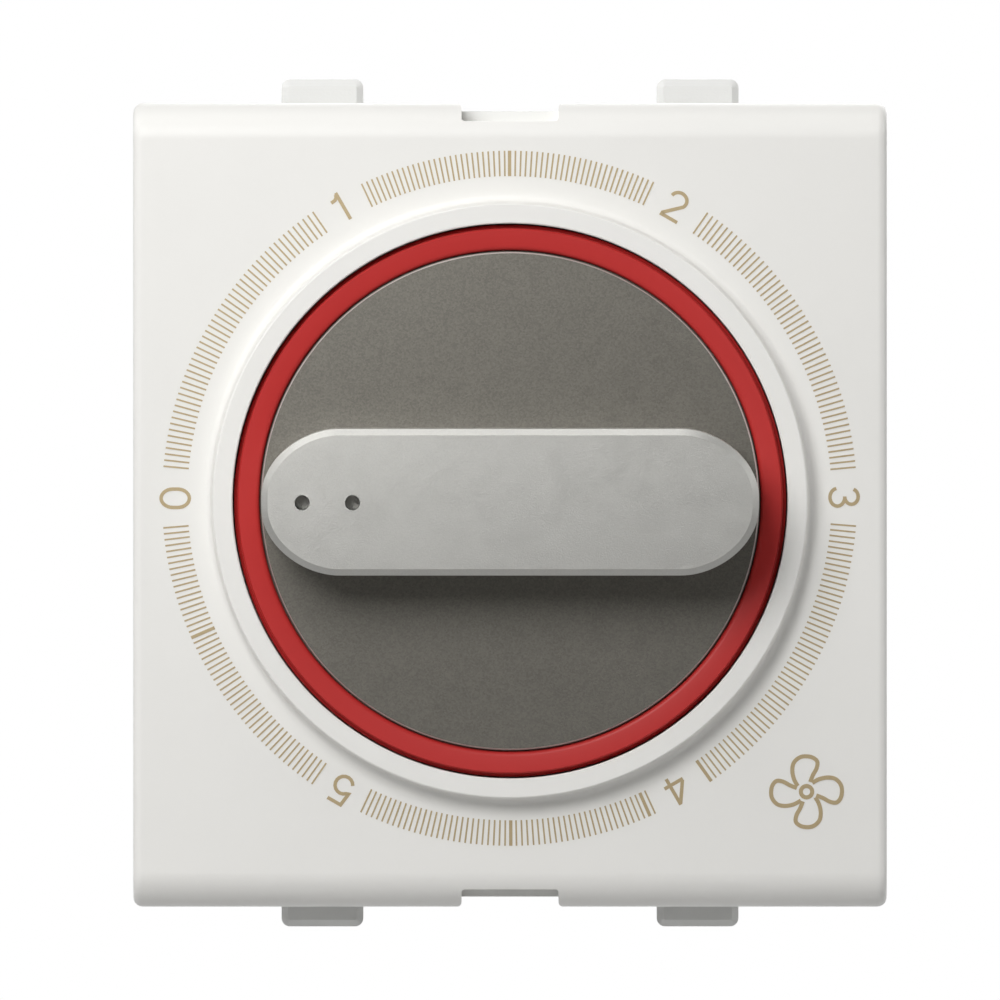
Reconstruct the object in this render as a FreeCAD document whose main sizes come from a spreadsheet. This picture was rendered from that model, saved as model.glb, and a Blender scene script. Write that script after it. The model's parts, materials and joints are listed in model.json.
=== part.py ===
import FreeCAD, Part
import math
import os
import re
import Sketcher

# Fan speed control switch of the 22.5 mm module system, two modules wide.
# X is to the right seen from the front, Y to the back and Z up.
# The seat plane of the housing flange is Y = 0 and the middle of the module is the origin.
# A level is a distance ahead of the seat plane, so Y = -level.

os.makedirs("parts", exist_ok=True)
doc = FreeCAD.newDocument("fan_speed_switch")

# Driving dimensions in mm and degrees
values = {
    # front plate
    "module_pitch": 22.5,
    "plate_width": 45.0,
    "plate_height": 48.0,
    "plate_face": 9.0,
    "plate_back": 2.5,
    "plate_wall": 1.5,
    "plate_front_wall": 1.8,
    "plate_roll": 2.6,
    "plate_edge_round": 0.7,
    "notch_width": 5.8,
    "notch_depth": 1.07,
    "notch_corner": 0.35,
    # collar and well round the knob
    "knob_rise": 0.29,
    "collar_top": 10.7,
    "well_radius": 16.6,
    "collar_wall": 1.3,
    "well_floor": 5.0,
    "well_back": 3.5,
    "well_hole_radius": 5.9,
    "collar_foot_round": 0.55,
    "collar_lip_bevel": 0.2,
    # snap hooks behind the plate
    "hook_width": 6.0,
    "hook_gap": 0.6,
    "hook_thick": 1.0,
    "hook_end": 0.7,
    "hook_barb": 0.9,
    "hook_play": 0.1,
    "hook_root": 0.4,
    "hook_slot_over": 0.5,
    "hook_slot_width": 7.0,
    # housing
    "flange_inset": 0.5,
    "flange_corner": 0.6,
    "box_side_inset": 1.5,
    "box_end_inset": 1.7,
    "box_depth": 26.5,
    "box_wall": 1.5,
    "floor_level": 0.5,
    "box_corner": 0.8,
    # spring clips of the housing
    "clip_width": 4.9,
    "clip_over": 1.4,
    "clip_slot": 0.8,
    "clip_gap": 0.4,
    "clip_front": 2.1,
    "clip_root": 12.0,
    "clip_lap": 0.6,
    "clip_land": 2.9,
    "clip_ramp_end": 5.6,
    "clip_corner": 0.5,
    "clip_chamfer": 0.4,
    # bearing of the shaft
    "shaft_radius": 3.0,
    "running_clearance": 0.05,
    "boss_radius": 5.0,
    "boss_end": 1.5,
    # knob
    "knob_front": 10.55,
    "knob_gap": 0.34,
    "disc_lip": 0.2,
    "disc_groove_floor": 9.85,
    "disc_front_wall": 2.0,
    "disc_skirt_wall": 1.8,
    "disc_skirt_back": 6.5,
    "disc_edge_bevel": 0.12,
    "ring_over": 0.41,
    "ring_seat": 7.3,
    "ring_width": 1.13,
    "ring_fit": 0.03,
    "ring_edge_bevel": 0.15,
    "hub_radius": 4.7,
    "hub_back": 3.0,
    "hub_groove_front": 5.4,
    "hub_groove_back": 3.8,
    "hub_groove_depth": 0.5,
    "flat_height": 2.2,
    "flat_clearance": 0.03,
    "key_over": 0.3,
    "rib_count": 6.0,
    "rib_thick": 1.1,
    "rib_back": 7.2,
    "hub_bore_end": 9.1,
    # grip bar
    "grip_width": 8.73,
    "grip_top": 16.6,
    "grip_corner": 4.0,
    "grip_chamfer": 0.42,
    "grip_wall": 1.4,
    "grip_front_wall": 1.6,
    "dimple_radius": 0.45,
    "dimple_depth": 0.3,
    "dimple_near": 9.4,
    "dimple_far": 12.4,
    "peg_radius": 1.3,
    "peg_pitch": 16.0,
    "peg_end": 8.55,
    "peg_boss_radius": 2.2,
    # shaft
    "shaft_front": 9.0,
    "shaft_flat_back": 2.9,
    "shaft_collar_radius": 4.2,
    "shaft_collar_front": 1.6,
    "shaft_collar_back": 2.0,
    "shaft_end": 12.6,
    "shaft_end_chamfer": 0.4,
    "shaft_rear_flat_end": 8.0,
    "clip_groove_front": 11.3,
    "clip_groove_back": 11.9,
    "clip_groove_radius": 2.3,
    "circlip_gap": 2.0,
    # detent wheel
    "wheel_radius": 7.0,
    "wheel_front": 2.0,
    "wheel_back": 5.0,
    "wheel_hub_radius": 4.6,
    "wheel_hub_back": 6.0,
    "wheel_notch_radius": 1.5,
    "wheel_notch_centre": 7.35,
    "position_count": 6.0,
    # detent spring
    "leaf_half_length": 13.0,
    "leaf_top": -8.3,
    "leaf_thick": 0.4,
    "leaf_front": 2.1,
    "leaf_back": 4.9,
    "leaf_bump_half": 1.0,
    "leaf_bump_height": 2.1,
    "leaf_bump_flat": 0.35,
    "leaf_block_width": 3.4,
    "leaf_block_inner": 10.2,
    "leaf_block_bottom": 10.4,
    "leaf_block_top": 7.0,
    "leaf_block_end": 5.6,
    # switch rotor and wiper
    "rotor_radius": 9.0,
    "rotor_front": 6.0,
    "rotor_back": 8.0,
    "wiper_width": 2.4,
    "wiper_thick": 0.3,
    "wiper_tip": 9.0,
    "wiper_inner": 4.3,
    "wiper_ring_tip": 5.5,
    "wiper_pad_tip": 8.0,
    "wiper_pad_length": 0.9,
    "wiper_slope": 0.6,
    # circuit board
    "board_side_gap": 1.0,
    "board_bottom": -10.5,
    "board_top_gap": 1.6,
    "board_front": 9.5,
    "board_thick": 1.6,
    "board_notch": 5.0,
    "board_hole_radius": 3.5,
    "stud_inset": 2.3,
    "stud_top_z": 10.5,
    "stud_bottom_z": -7.5,
    "stud_radius": 1.8,
    "stud_pin_radius": 0.8,
    "stud_pin_over": 0.5,
    "pin_clearance": 0.05,
    # fixed contacts and common ring
    "contact_circle": 8.0,
    "contact_radius": 1.25,
    "contact_head": 0.4,
    "contact_shank": 0.6,
    "contact_bevel": 0.25,
    "common_inner": 4.4,
    "common_outer": 6.3,
    "common_thick": 0.3,
    # components behind the board
    "large_length": 27.0,
    "large_height": 13.0,
    "large_top_gap": 0.6,
    "large_depth": 12.5,
    "small_length": 17.0,
    "small_height": 6.0,
    "small_bottom": -10.2,
    "small_depth": 11.5,
    "component_bevel": 0.6,
    "resistor_x": 9.8,
    "resistor_length": 6.3,
    "resistor_radius": 1.15,
    "resistor_cap_radius": 1.35,
    "resistor_cap_length": 1.3,
    "resistor_step": 0.3,
    "resistor_pitch": 9.2,
    "resistor_stand": 0.15,
    "resistor_lead": 0.5,
    # terminals
    "terminal_width": 8.0,
    "terminal_front": 11.9,
    "terminal_back": 23.4,
    "terminal_height": 8.5,
    "terminal_side_wall": 1.2,
    "terminal_front_wall": 1.2,
    "terminal_back_wall": 1.5,
    "terminal_round": 0.6,
    "screw_radius": 1.75,
    "screw_travel": 2.4,
    "screw_head_radius": 3.0,
    "screw_head_thick": 1.8,
    "screw_head_gap": 0.1,
    "screw_slot_width": 0.8,
    "screw_slot_depth": 0.9,
    "screw_neck_radius": 0.9,
    "screw_rivet_radius": 1.3,
    "screw_rivet_thick": 0.35,
    "screw_edge": 0.25,
    "clamp_opening": 4.0,
    "clamp_thick": 1.2,
    "clamp_play": 0.2,
    "clamp_height": 7.6,
    "strip_width": 4.0,
    "strip_thick": 0.8,
    "strip_rise": 0.8,
    "strip_top": -7.0,
    "bay_wall": 1.0,
    "bay_play": 0.1,
    "bay_height": 8.8,
    "bay_end": 22.0,
    "bay_gap": 0.8,
    "entry_radius": 1.9,
    "entry_chamfer": 0.4,
    # rear cover and its screws
    "cover_thick": 1.5,
    "cover_edge": 0.6,
    "cover_lip_thick": 1.0,
    "cover_lip_depth": 1.2,
    "cover_lip_play": 0.1,
    "cover_lip_half": 13.5,
    "post_side_inset": 1.9,
    "post_end_inset": 2.2,
    "post_radius": 2.1,
    "post_bore_depth": 10.0,
    "cover_screw_radius": 1.1,
    "cover_screw_head": 2.2,
    "cover_screw_head_depth": 1.1,
    "cover_screw_length": 9.0,
    "cover_screw_tip": 0.6,
    "cover_hole_radius": 1.4,
    "cover_cross_width": 0.5,
    "cover_cross_length": 2.2,
    "cover_cross_depth": 0.7,
    "well_screw_radius": 3.5,
    "well_screw_outer": 4.2,
    "vent_length": 20.0,
    "vent_width": 1.2,
    "vent_pitch": 3.0,
    "vent_count": 5.0,
    "vent_bottom": 1.0,
}

# Sizes that follow from the driving ones
derived = {
    "flange_width": "plate_width - 2 * flange_inset",
    "flange_height": "plate_height - 2 * flange_inset",
    "box_width": "plate_width - 2 * box_side_inset",
    "box_height": "plate_height - 2 * box_end_inset",
    "inner_wall_x": "box_width / 2 - box_wall",
    "inner_wall_z": "box_height / 2 - box_wall",
    "clip_reach": "plate_height / 2 + clip_over",
    "collar_radius": "well_radius + collar_wall",
    "hook_inner": "inner_wall_z - hook_gap - hook_thick",
    "ring_outer_radius": "well_radius - knob_gap",
    "ring_inner_radius": "ring_outer_radius - ring_width",
    "ring_seat_radius": "ring_outer_radius - ring_over",
    "disc_rim_radius": "ring_inner_radius - ring_fit",
    "disc_radius": "disc_rim_radius - disc_lip",
    "disc_skirt_inner": "disc_rim_radius - disc_skirt_wall",
    "board_back": "board_front + board_thick",
    "board_half": "inner_wall_x - board_side_gap",
    "board_top": "inner_wall_z - board_top_gap",
    "stud_x": "board_half - stud_inset",
    "large_bottom": "board_top - large_top_gap - large_height",
    "terminal_x": "module_pitch / 2",
    "terminal_z": "-inner_wall_z + terminal_height / 2",
    "clamp_seat": "terminal_front + terminal_front_wall + clamp_opening",
    "bay_top": "-inner_wall_z + bay_height",
    "post_x": "inner_wall_x - post_side_inset",
    "post_z": "inner_wall_z - post_end_inset",
}

sheet = doc.addObject("Spreadsheet::Sheet", "sizes")
for row, (name, number) in enumerate(values.items(), start=1):
    sheet.set(f"A{row}", name)
    sheet.set(f"B{row}", repr(number))
    sheet.setAlias(f"B{row}", name)
doc.recompute()


def formula(text):
    """Write out the derived sizes of a formula and put the sheet's name ahead of its values."""
    def write(hit):
        if hit[0] in derived:
            return f"({formula(derived[hit[0]])})"
        return f"sizes.{hit[0]}" if hit[0] in values else hit[0]
    return re.sub(r"[a-z][a-z_0-9]*", write, text)


def bind(item, prop, text):
    item.setExpression(prop, formula(text))


def new_body(name, across="0", back="0", up="0"):
    body = doc.addObject("PartDesign::Body", name)
    body.Label = name
    bind(body, "Placement.Base.x", across)
    bind(body, "Placement.Base.y", back)
    bind(body, "Placement.Base.z", up)
    return body


def sketch(body, name, plane, level="0"):
    """A sketch on one of the body's own origin planes, moved along that plane's normal.

    front plane: X and Z, normal to the front; top plane: X and Y, normal up;
    side plane: Y and Z, normal to the right."""
    role = {"front": "XZ_Plane", "top": "XY_Plane", "side": "YZ_Plane"}[plane]
    item = body.newObject("Sketcher::SketchObject", name)
    support = [part for part in body.Origin.OriginFeatures if part.Role == role][0]
    item.AttachmentSupport = [(support, "")]
    item.MapMode = "FlatFace"
    bind(item, "AttachmentOffset.Base.z", level)
    return item


def hold(item, geometry, point, across, up):
    """Fix a point of the sketch by its two distances from the sketch's origin."""
    start = item.getPoint(geometry, point)
    for kind, axis, text, now in (("DistanceX", -2, across, start.x), ("DistanceY", -1, up, start.y)):
        if text == "0":
            item.addConstraint(Sketcher.Constraint("PointOnObject", geometry, point, axis))
            continue
        index = item.addConstraint(Sketcher.Constraint(kind, -1, 1, geometry, point, now))
        item.renameConstraint(index, f"d{index}")
        bind(item, f"Constraints.d{index}", text)


def polygon(item, corners):
    first = item.GeometryCount
    count = len(corners)
    turns = [math.tau * i / count for i in range(count)]
    start = [FreeCAD.Vector(math.cos(turn), math.sin(turn), 0) * 9 for turn in turns]
    for i in range(count):
        item.addGeometry(Part.LineSegment(start[i], start[(i + 1) % count]), False)
    for i in range(count):
        item.addConstraint(Sketcher.Constraint("Coincident", first + i, 2, first + (i + 1) % count, 1))
        hold(item, first + i, 1, *corners[i])


def rectangle(item, left, right, bottom, top):
    polygon(item, [(left, bottom), (right, bottom), (right, top), (left, top)])


def circle(item, across, up, radius):
    index = item.addGeometry(Part.Circle(FreeCAD.Vector(0, 0, 0), FreeCAD.Vector(0, 0, 1), 1.0), False)
    hold(item, index, 3, across, up)
    size = item.addConstraint(Sketcher.Constraint("Radius", index, 1.0))
    item.renameConstraint(size, f"d{size}")
    bind(item, f"Constraints.d{size}", radius)


def pad(body, name, profile, length, both=False):
    """Add material along the sketch's normal, or half of it to each side."""
    item = body.newObject("PartDesign::Pad", name)
    item.Profile = profile
    item.SideType = "Symmetric" if both else "One side"
    bind(item, "Length", length)
    doc.recompute()
    return item


def cut(body, name, profile, length, forward=False, both=False):
    """Take material away against the sketch's normal, or along it."""
    item = body.newObject("PartDesign::Pocket", name)
    item.Profile = profile
    item.SideType = "Symmetric" if both else "One side"
    item.Reversed = forward
    bind(item, "Length", length)
    doc.recompute()
    return item


def turned(body, name, profile, groove=False):
    """Turn a sketch of the top plane round its own vertical axis, which runs front to back."""
    item = body.newObject("PartDesign::Groove" if groove else "PartDesign::Revolution", name)
    item.Profile = profile
    item.ReferenceAxis = (profile, ["V_Axis"])
    item.Angle = 360
    doc.recompute()
    return item


def along(edge, direction):
    if edge.Curve.TypeId != "Part::GeomLine":
        return False
    tangent = edge.tangentAt(edge.FirstParameter)
    return abs(abs(tangent.dot(direction)) - 1) < 1e-6


def edges_from(feature, wanted):
    names = []
    for number, edge in enumerate(feature.Shape.Edges, start=1):
        if edge.Length < 1e-6:
            continue
        middle = edge.valueAt((edge.FirstParameter + edge.LastParameter) / 2)
        if wanted(edge, middle):
            names.append(f"Edge{number}")
    if not names:
        raise RuntimeError(f"no edge found on {feature.Name}")
    return names


def round_edges(body, name, wanted, radius):
    base = body.Tip
    item = body.newObject("PartDesign::Fillet", name)
    names = edges_from(base, wanted)
    item.Base = (base, names)
    bind(item, "Radius", radius)
    doc.recompute()
    return item


def bevel_edges(body, name, wanted, size):
    base = body.Tip
    item = body.newObject("PartDesign::Chamfer", name)
    names = edges_from(base, wanted)
    item.Base = (base, names)
    bind(item, "Size", size)
    doc.recompute()
    return item


def near(first, second, slack=1e-4):
    return abs(first - second) < slack


across_axis = FreeCAD.Vector(1, 0, 0)
depth_axis = FreeCAD.Vector(0, 1, 0)
height_axis = FreeCAD.Vector(0, 0, 1)


def front_plate():
    body = new_body("front_plate")
    outline = sketch(body, "plate_outline", "front", "plate_back")
    rectangle(outline, "-plate_width / 2", "plate_width / 2", "-plate_height / 2", "plate_height / 2")
    pad(body, "plate_block", outline, "plate_face - plate_back")
    face = -values["plate_face"]
    half_width = values["plate_width"] / 2
    round_edges(body, "plate_rolls", lambda edge, middle: along(edge, across_axis) and near(middle.y, face),
                "plate_roll")
    round_edges(body, "plate_side_rounds", lambda edge, middle: near(abs(middle.x), half_width)
                and not near(middle.y, -values["plate_back"]), "plate_edge_round")
    cavity = sketch(body, "plate_cavity_outline", "front", "plate_back")
    rectangle(cavity, "-plate_width / 2 + plate_wall", "plate_width / 2 - plate_wall",
              "-plate_height / 2 + plate_wall", "plate_height / 2 - plate_wall")
    cut(body, "plate_cavity", cavity, "plate_face - plate_back - plate_front_wall", forward=True)
    tube = sketch(body, "collar_outline", "front", "well_back")
    circle(tube, "0", "knob_rise", "collar_radius")
    pad(body, "collar", tube, "collar_top - well_back")
    well = sketch(body, "well_outline", "front", "collar_top")
    circle(well, "0", "knob_rise", "well_radius")
    cut(body, "well", well, "collar_top - well_floor")
    hole = sketch(body, "well_hole_outline", "front", "well_floor")
    circle(hole, "0", "knob_rise", "well_hole_radius")
    cut(body, "well_hole", hole, "well_floor - well_back")
    well_length = math.tau * values["well_radius"]
    round_edges(body, "collar_foot", lambda edge, middle: near(middle.y, face) and edge.Length > well_length,
                "collar_foot_round")
    bevel_edges(body, "collar_lip", lambda edge, middle: near(middle.y, -values["collar_top"]),
                "collar_lip_bevel")
    notches = sketch(body, "pry_notch_outline", "front", "plate_face")
    for side in ("", "-"):
        inner, outer = f"{side}(plate_height / 2 - notch_depth)", f"{side}(plate_height / 2 + plate_wall)"
        rectangle(notches, "-notch_width / 2", "notch_width / 2", inner, outer)
    cut(body, "pry_notches", notches, "plate_face - plate_back")
    notch_wall = values["plate_height"] / 2 - values["notch_depth"]
    round_edges(body, "pry_notch_rounds", lambda edge, middle: along(edge, depth_axis)
                and near(abs(middle.x), values["notch_width"] / 2) and near(abs(middle.z), notch_wall),
                "notch_corner")
    arms = sketch(body, "hook_arm_outline", "front", "-hook_end")
    for side in ("", "-"):
        rectangle(arms, "-hook_width / 2", "hook_width / 2", f"{side}hook_inner",
                  f"{side}(hook_inner + hook_thick)")
    pad(body, "hook_arms", arms, "hook_end + plate_face - plate_front_wall + hook_root")
    barbs = sketch(body, "hook_barb_outline", "side")
    for side in ("", "-"):
        polygon(barbs, [("-floor_level + hook_play", f"{side}hook_inner"), ("hook_end", f"{side}hook_inner"),
                        ("-floor_level + hook_play", f"{side}(hook_inner - hook_barb)")])
    pad(body, "hook_barbs", barbs, "hook_width", both=True)
    return body


def housing():
    body = new_body("housing")
    flange = sketch(body, "flange_outline", "front")
    rectangle(flange, "-flange_width / 2", "flange_width / 2", "-flange_height / 2", "flange_height / 2")
    pad(body, "flange", flange, "plate_back")
    round_edges(body, "flange_corners", lambda edge, middle: along(edge, depth_axis), "flange_corner")
    box = sketch(body, "box_outline", "front", "-box_depth")
    rectangle(box, "-box_width / 2", "box_width / 2", "-box_height / 2", "box_height / 2")
    pad(body, "box", box, "box_depth")
    round_edges(body, "box_corners", lambda edge, middle: along(edge, depth_axis) and middle.y > 0,
                "box_corner")
    hollow = sketch(body, "hollow_outline", "front", "-box_depth")
    rectangle(hollow, "-inner_wall_x", "inner_wall_x", "-inner_wall_z", "inner_wall_z")
    cut(body, "hollow", hollow, "box_depth + floor_level", forward=True)

    # posts for the cover screws and studs for the circuit board
    posts = sketch(body, "post_outline", "front", "-box_depth")
    for side in ("", "-"):
        for end in ("", "-"):
            circle(posts, f"{side}post_x", f"{end}post_z", "post_radius")
    pad(body, "cover_posts", posts, "box_depth + floor_level")
    bores = sketch(body, "post_bore_outline", "front", "-box_depth")
    for side in ("", "-"):
        for end in ("", "-"):
            circle(bores, f"{side}post_x", f"{end}post_z", "cover_screw_radius + running_clearance")
    cut(body, "post_bores", bores, "post_bore_depth", forward=True)
    studs = sketch(body, "stud_outline", "front", "-board_front")
    for side in ("", "-"):
        for level in ("stud_top_z", "stud_bottom_z"):
            circle(studs, f"{side}stud_x", level, "stud_radius")
    pad(body, "board_studs", studs, "board_front + floor_level")
    pins = sketch(body, "stud_pin_outline", "front", "-(board_back + stud_pin_over)")
    for side in ("", "-"):
        for level in ("stud_top_z", "stud_bottom_z"):
            circle(pins, f"{side}stud_x", level, "stud_pin_radius")
    pad(body, "board_pins", pins, "board_thick + stud_pin_over")

    # bearing of the shaft
    boss = sketch(body, "boss_outline", "front", "-boss_end")
    circle(boss, "0", "knob_rise", "boss_radius")
    pad(body, "bearing_boss", boss, "boss_end + floor_level")
    bearing = sketch(body, "bearing_outline", "front", "plate_back")
    circle(bearing, "0", "knob_rise", "shaft_radius + running_clearance")
    cut(body, "bearing", bearing, "plate_back + boss_end")

    # blocks that grip the ends of the detent leaf
    blocks = sketch(body, "leaf_block_outline", "front", "-leaf_block_end")
    slots = sketch(body, "leaf_slot_outline", "front", "-leaf_block_end")
    for side in ("", "-"):
        rectangle(blocks, f"{side}leaf_block_inner", f"{side}(leaf_block_inner + leaf_block_width)",
                  "-leaf_block_bottom + knob_rise", "-leaf_block_top + knob_rise")
        rectangle(slots, f"{side}(leaf_block_inner - leaf_thick)", f"{side}leaf_half_length",
                  "leaf_top - leaf_thick + knob_rise", "leaf_top + knob_rise")
    pad(body, "leaf_blocks", blocks, "leaf_block_end + floor_level")
    cut(body, "leaf_slots", slots, "leaf_block_end - leaf_front", forward=True)

    # bays for the two terminals
    bays = sketch(body, "bay_outline", "front", "-bay_end")
    backs = sketch(body, "bay_back_outline", "front", "-(terminal_front - strip_thick)")
    for side in ("", "-"):
        near_wall = f"{side}(terminal_x - terminal_width / 2 - bay_play)"
        far_wall = f"{side}(terminal_x + terminal_width / 2 + bay_play)"
        rectangle(bays, near_wall, f"{side}(terminal_x - terminal_width / 2 - bay_play - bay_wall)",
                  "-inner_wall_z", "bay_top")
        rectangle(bays, far_wall, f"{side}(terminal_x + terminal_width / 2 + bay_play + bay_wall)",
                  "-inner_wall_z", "bay_top")
        rectangle(backs, near_wall, far_wall, "-inner_wall_z + bay_gap", "bay_top")
    pad(body, "bay_walls", bays, "bay_end + floor_level")
    pad(body, "bay_backs", backs, "bay_wall")
    entries = sketch(body, "entry_outline", "top", "-box_height / 2")
    for side in ("", "-"):
        circle(entries, f"{side}terminal_x",
               "terminal_front + terminal_front_wall + clamp_opening / 2", "entry_radius")
    cut(body, "wire_entries", entries, "box_wall", forward=True)
    bottom = values["box_end_inset"] - values["plate_height"] / 2
    bevel_edges(body, "entry_chamfers", lambda edge, middle: near(middle.z, bottom)
                and near(edge.Length, math.tau * values["entry_radius"], 0.01), "entry_chamfer")

    # spring clips cut free in the top and bottom walls, their heads behind a frame bar
    windows = sketch(body, "clip_window_outline", "front", "floor_level")
    tongues = sketch(body, "clip_tongue_outline", "front", "-(clip_root + clip_lap)")
    heads = sketch(body, "clip_head_outline", "front", "-clip_ramp_end")
    for side in ("", "-"):
        for end in ("", "-"):
            left = f"{side}module_pitch / 2 - clip_width / 2"
            right = f"{side}module_pitch / 2 + clip_width / 2"
            inner, outer = f"{end}inner_wall_z", f"{end}box_height / 2"
            rectangle(windows, f"{left} - clip_slot", f"{right} + clip_slot", inner, outer)
            rectangle(tongues, left, right, inner, outer)
            rectangle(heads, left, right, inner, f"{end}clip_reach")
    cut(body, "clip_windows", windows, "clip_root + floor_level")
    pad(body, "clip_tongues", tongues, "clip_root + clip_lap - clip_gap")
    pad(body, "clip_heads", heads, "clip_ramp_end - clip_front")
    ramps = sketch(body, "clip_ramp_outline", "side")
    for end in ("", "-"):
        polygon(ramps, [("clip_land", f"{end}clip_reach"), ("clip_ramp_end", f"{end}(box_height / 2)"),
                        ("clip_ramp_end + clip_slot", f"{end}(box_height / 2)"),
                        ("clip_ramp_end + clip_slot", f"{end}(clip_reach + clip_slot)"),
                        ("clip_land", f"{end}(clip_reach + clip_slot)")])
    cut(body, "clip_ramps", ramps, "flange_width", both=True)
    reach = values["plate_height"] / 2 + values["clip_over"]
    head = values["clip_front"]
    round_edges(body, "clip_corners", lambda edge, middle: along(edge, depth_axis)
                and near(abs(middle.z), reach), "clip_corner")
    bevel_edges(body, "clip_chamfers", lambda edge, middle: along(edge, across_axis) and near(middle.y, head)
                and near(abs(middle.z), reach), "clip_chamfer")

    # slots for the hooks of the front plate
    slots = sketch(body, "hook_slot_outline", "front", "plate_back")
    for end in ("", "-"):
        rectangle(slots, "-hook_slot_width / 2", "hook_slot_width / 2", f"{end}(hook_inner - hook_slot_over)",
                  f"{end}inner_wall_z")
    cut(body, "hook_slots", slots, "plate_back")
    return body


def knob_disc():
    body = new_body("knob_disc", up="knob_rise")
    half = sketch(body, "disc_profile", "top")
    under = "-(knob_front - disc_front_wall)"
    polygon(half, [("0", "-knob_front"), ("disc_radius", "-knob_front"),
                   ("disc_radius", "-disc_groove_floor"), ("disc_rim_radius", "-disc_groove_floor"),
                   ("disc_rim_radius", "-ring_seat"),
                   ("ring_seat_radius", "-ring_seat"), ("ring_seat_radius", "-disc_skirt_back"),
                   ("disc_skirt_inner", "-disc_skirt_back"), ("disc_skirt_inner", under), ("0", under)])
    turned(body, "disc_shell", half)
    hub = sketch(body, "hub_outline", "front", "hub_back")
    circle(hub, "0", "0", "hub_radius")
    pad(body, "hub", hub, "knob_front - disc_front_wall - hub_back")
    rib = sketch(body, "rib_outline", "front", "rib_back")
    rectangle(rib, "hub_radius - rib_thick", "disc_skirt_inner + rib_thick / 2", "-rib_thick / 2",
              "rib_thick / 2")
    first_rib = pad(body, "rib", rib, "knob_front - disc_front_wall - rib_back")
    ribs = body.newObject("PartDesign::PolarPattern", "ribs")
    ribs.Originals = [first_rib]
    ribs.Axis = (rib, ["N_Axis"])
    ribs.Angle = 360
    bind(ribs, "Occurrences", "rib_count")
    body.Tip = ribs
    doc.recompute()
    groove = sketch(body, "hub_groove_profile", "top")
    rectangle(groove, "hub_radius - hub_groove_depth", "hub_radius + hub_groove_depth", "-hub_groove_front",
              "-hub_groove_back")
    turned(body, "hub_groove", groove, groove=True)
    bore = sketch(body, "hub_bore_outline", "front", "hub_back")
    circle(bore, "0", "0", "shaft_radius + running_clearance")
    cut(body, "hub_bore", bore, "hub_bore_end - hub_back", forward=True)
    key = sketch(body, "hub_flat_outline", "front", "hub_back")
    rectangle(key, "-flat_height", "flat_height", "flat_height + flat_clearance", "shaft_radius + key_over")
    pad(body, "hub_flat", key, "hub_bore_end - hub_back")
    sockets = sketch(body, "peg_socket_outline", "front", "knob_front")
    for side in ("", "-"):
        circle(sockets, f"{side}peg_pitch / 2", "0", "peg_radius + running_clearance")
    cut(body, "peg_sockets", sockets, "disc_front_wall")
    front = -values["knob_front"]
    hub_length = math.tau * values["hub_radius"]
    bevel_edges(body, "disc_edge", lambda edge, middle: near(middle.y, front) and edge.Length > hub_length,
                "disc_edge_bevel")
    return body


def knob_ring():
    body = new_body("knob_ring", up="knob_rise")
    section = sketch(body, "ring_profile", "top")
    rectangle(section, "ring_inner_radius", "ring_outer_radius", "-knob_front", "-ring_seat")
    turned(body, "ring", section)
    front = -values["knob_front"]
    bevel_edges(body, "ring_edges", lambda edge, middle: near(middle.y, front), "ring_edge_bevel")
    return body


def grip_bar():
    body = new_body("grip_bar", up="knob_rise")
    outline = sketch(body, "grip_outline", "front", "knob_front")
    rectangle(outline, "-disc_radius - grip_wall", "disc_radius + grip_wall", "-grip_width / 2",
              "grip_width / 2")
    pad(body, "grip_block", outline, "grip_top - knob_front")
    ends = sketch(body, "grip_end_outline", "front", "grip_top")
    circle(ends, "0", "0", "disc_radius")
    circle(ends, "0", "0", "2 * disc_radius")
    cut(body, "grip_ends", ends, "grip_top - knob_front")
    round_edges(body, "grip_corners", lambda edge, middle: along(edge, depth_axis), "grip_corner")
    top = -values["grip_top"]
    bevel_edges(body, "grip_top_bevel", lambda edge, middle: near(middle.y, top), "grip_chamfer")
    hollow = sketch(body, "grip_hollow_outline", "front", "knob_front")
    rectangle(hollow, "-disc_radius + grip_corner", "disc_radius - grip_corner",
              "-grip_width / 2 + grip_wall", "grip_width / 2 - grip_wall")
    cut(body, "grip_hollow", hollow, "grip_top - knob_front - grip_front_wall", forward=True)
    bosses = sketch(body, "peg_boss_outline", "front", "knob_front")
    pegs = sketch(body, "peg_outline", "front", "peg_end")
    for side in ("", "-"):
        circle(bosses, f"{side}peg_pitch / 2", "0", "peg_boss_radius")
        circle(pegs, f"{side}peg_pitch / 2", "0", "peg_radius")
    pad(body, "peg_bosses", bosses, "grip_top - grip_front_wall - knob_front")
    pad(body, "pegs", pegs, "knob_front - peg_end")
    dimples = sketch(body, "dimple_outline", "front", "grip_top")
    for place in ("dimple_near", "dimple_far"):
        circle(dimples, f"-{place}", "0", "dimple_radius")
    cut(body, "dimples", dimples, "dimple_depth")
    return body


def knob_clip():
    body = new_body("knob_clip", up="knob_rise")
    outline = sketch(body, "clip_ring_outline", "front", "hub_groove_back")
    circle(outline, "0", "0", "hub_radius")
    circle(outline, "0", "0", "hub_radius - hub_groove_depth + running_clearance")
    pad(body, "clip_ring", outline, "hub_groove_front - hub_groove_back")
    gap = sketch(body, "clip_gap_outline", "front", "hub_groove_front")
    rectangle(gap, "-rib_thick", "rib_thick", "-hub_radius - hub_groove_depth", "-hub_groove_depth")
    cut(body, "clip_gap", gap, "hub_groove_front - hub_groove_back")
    return body


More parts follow.
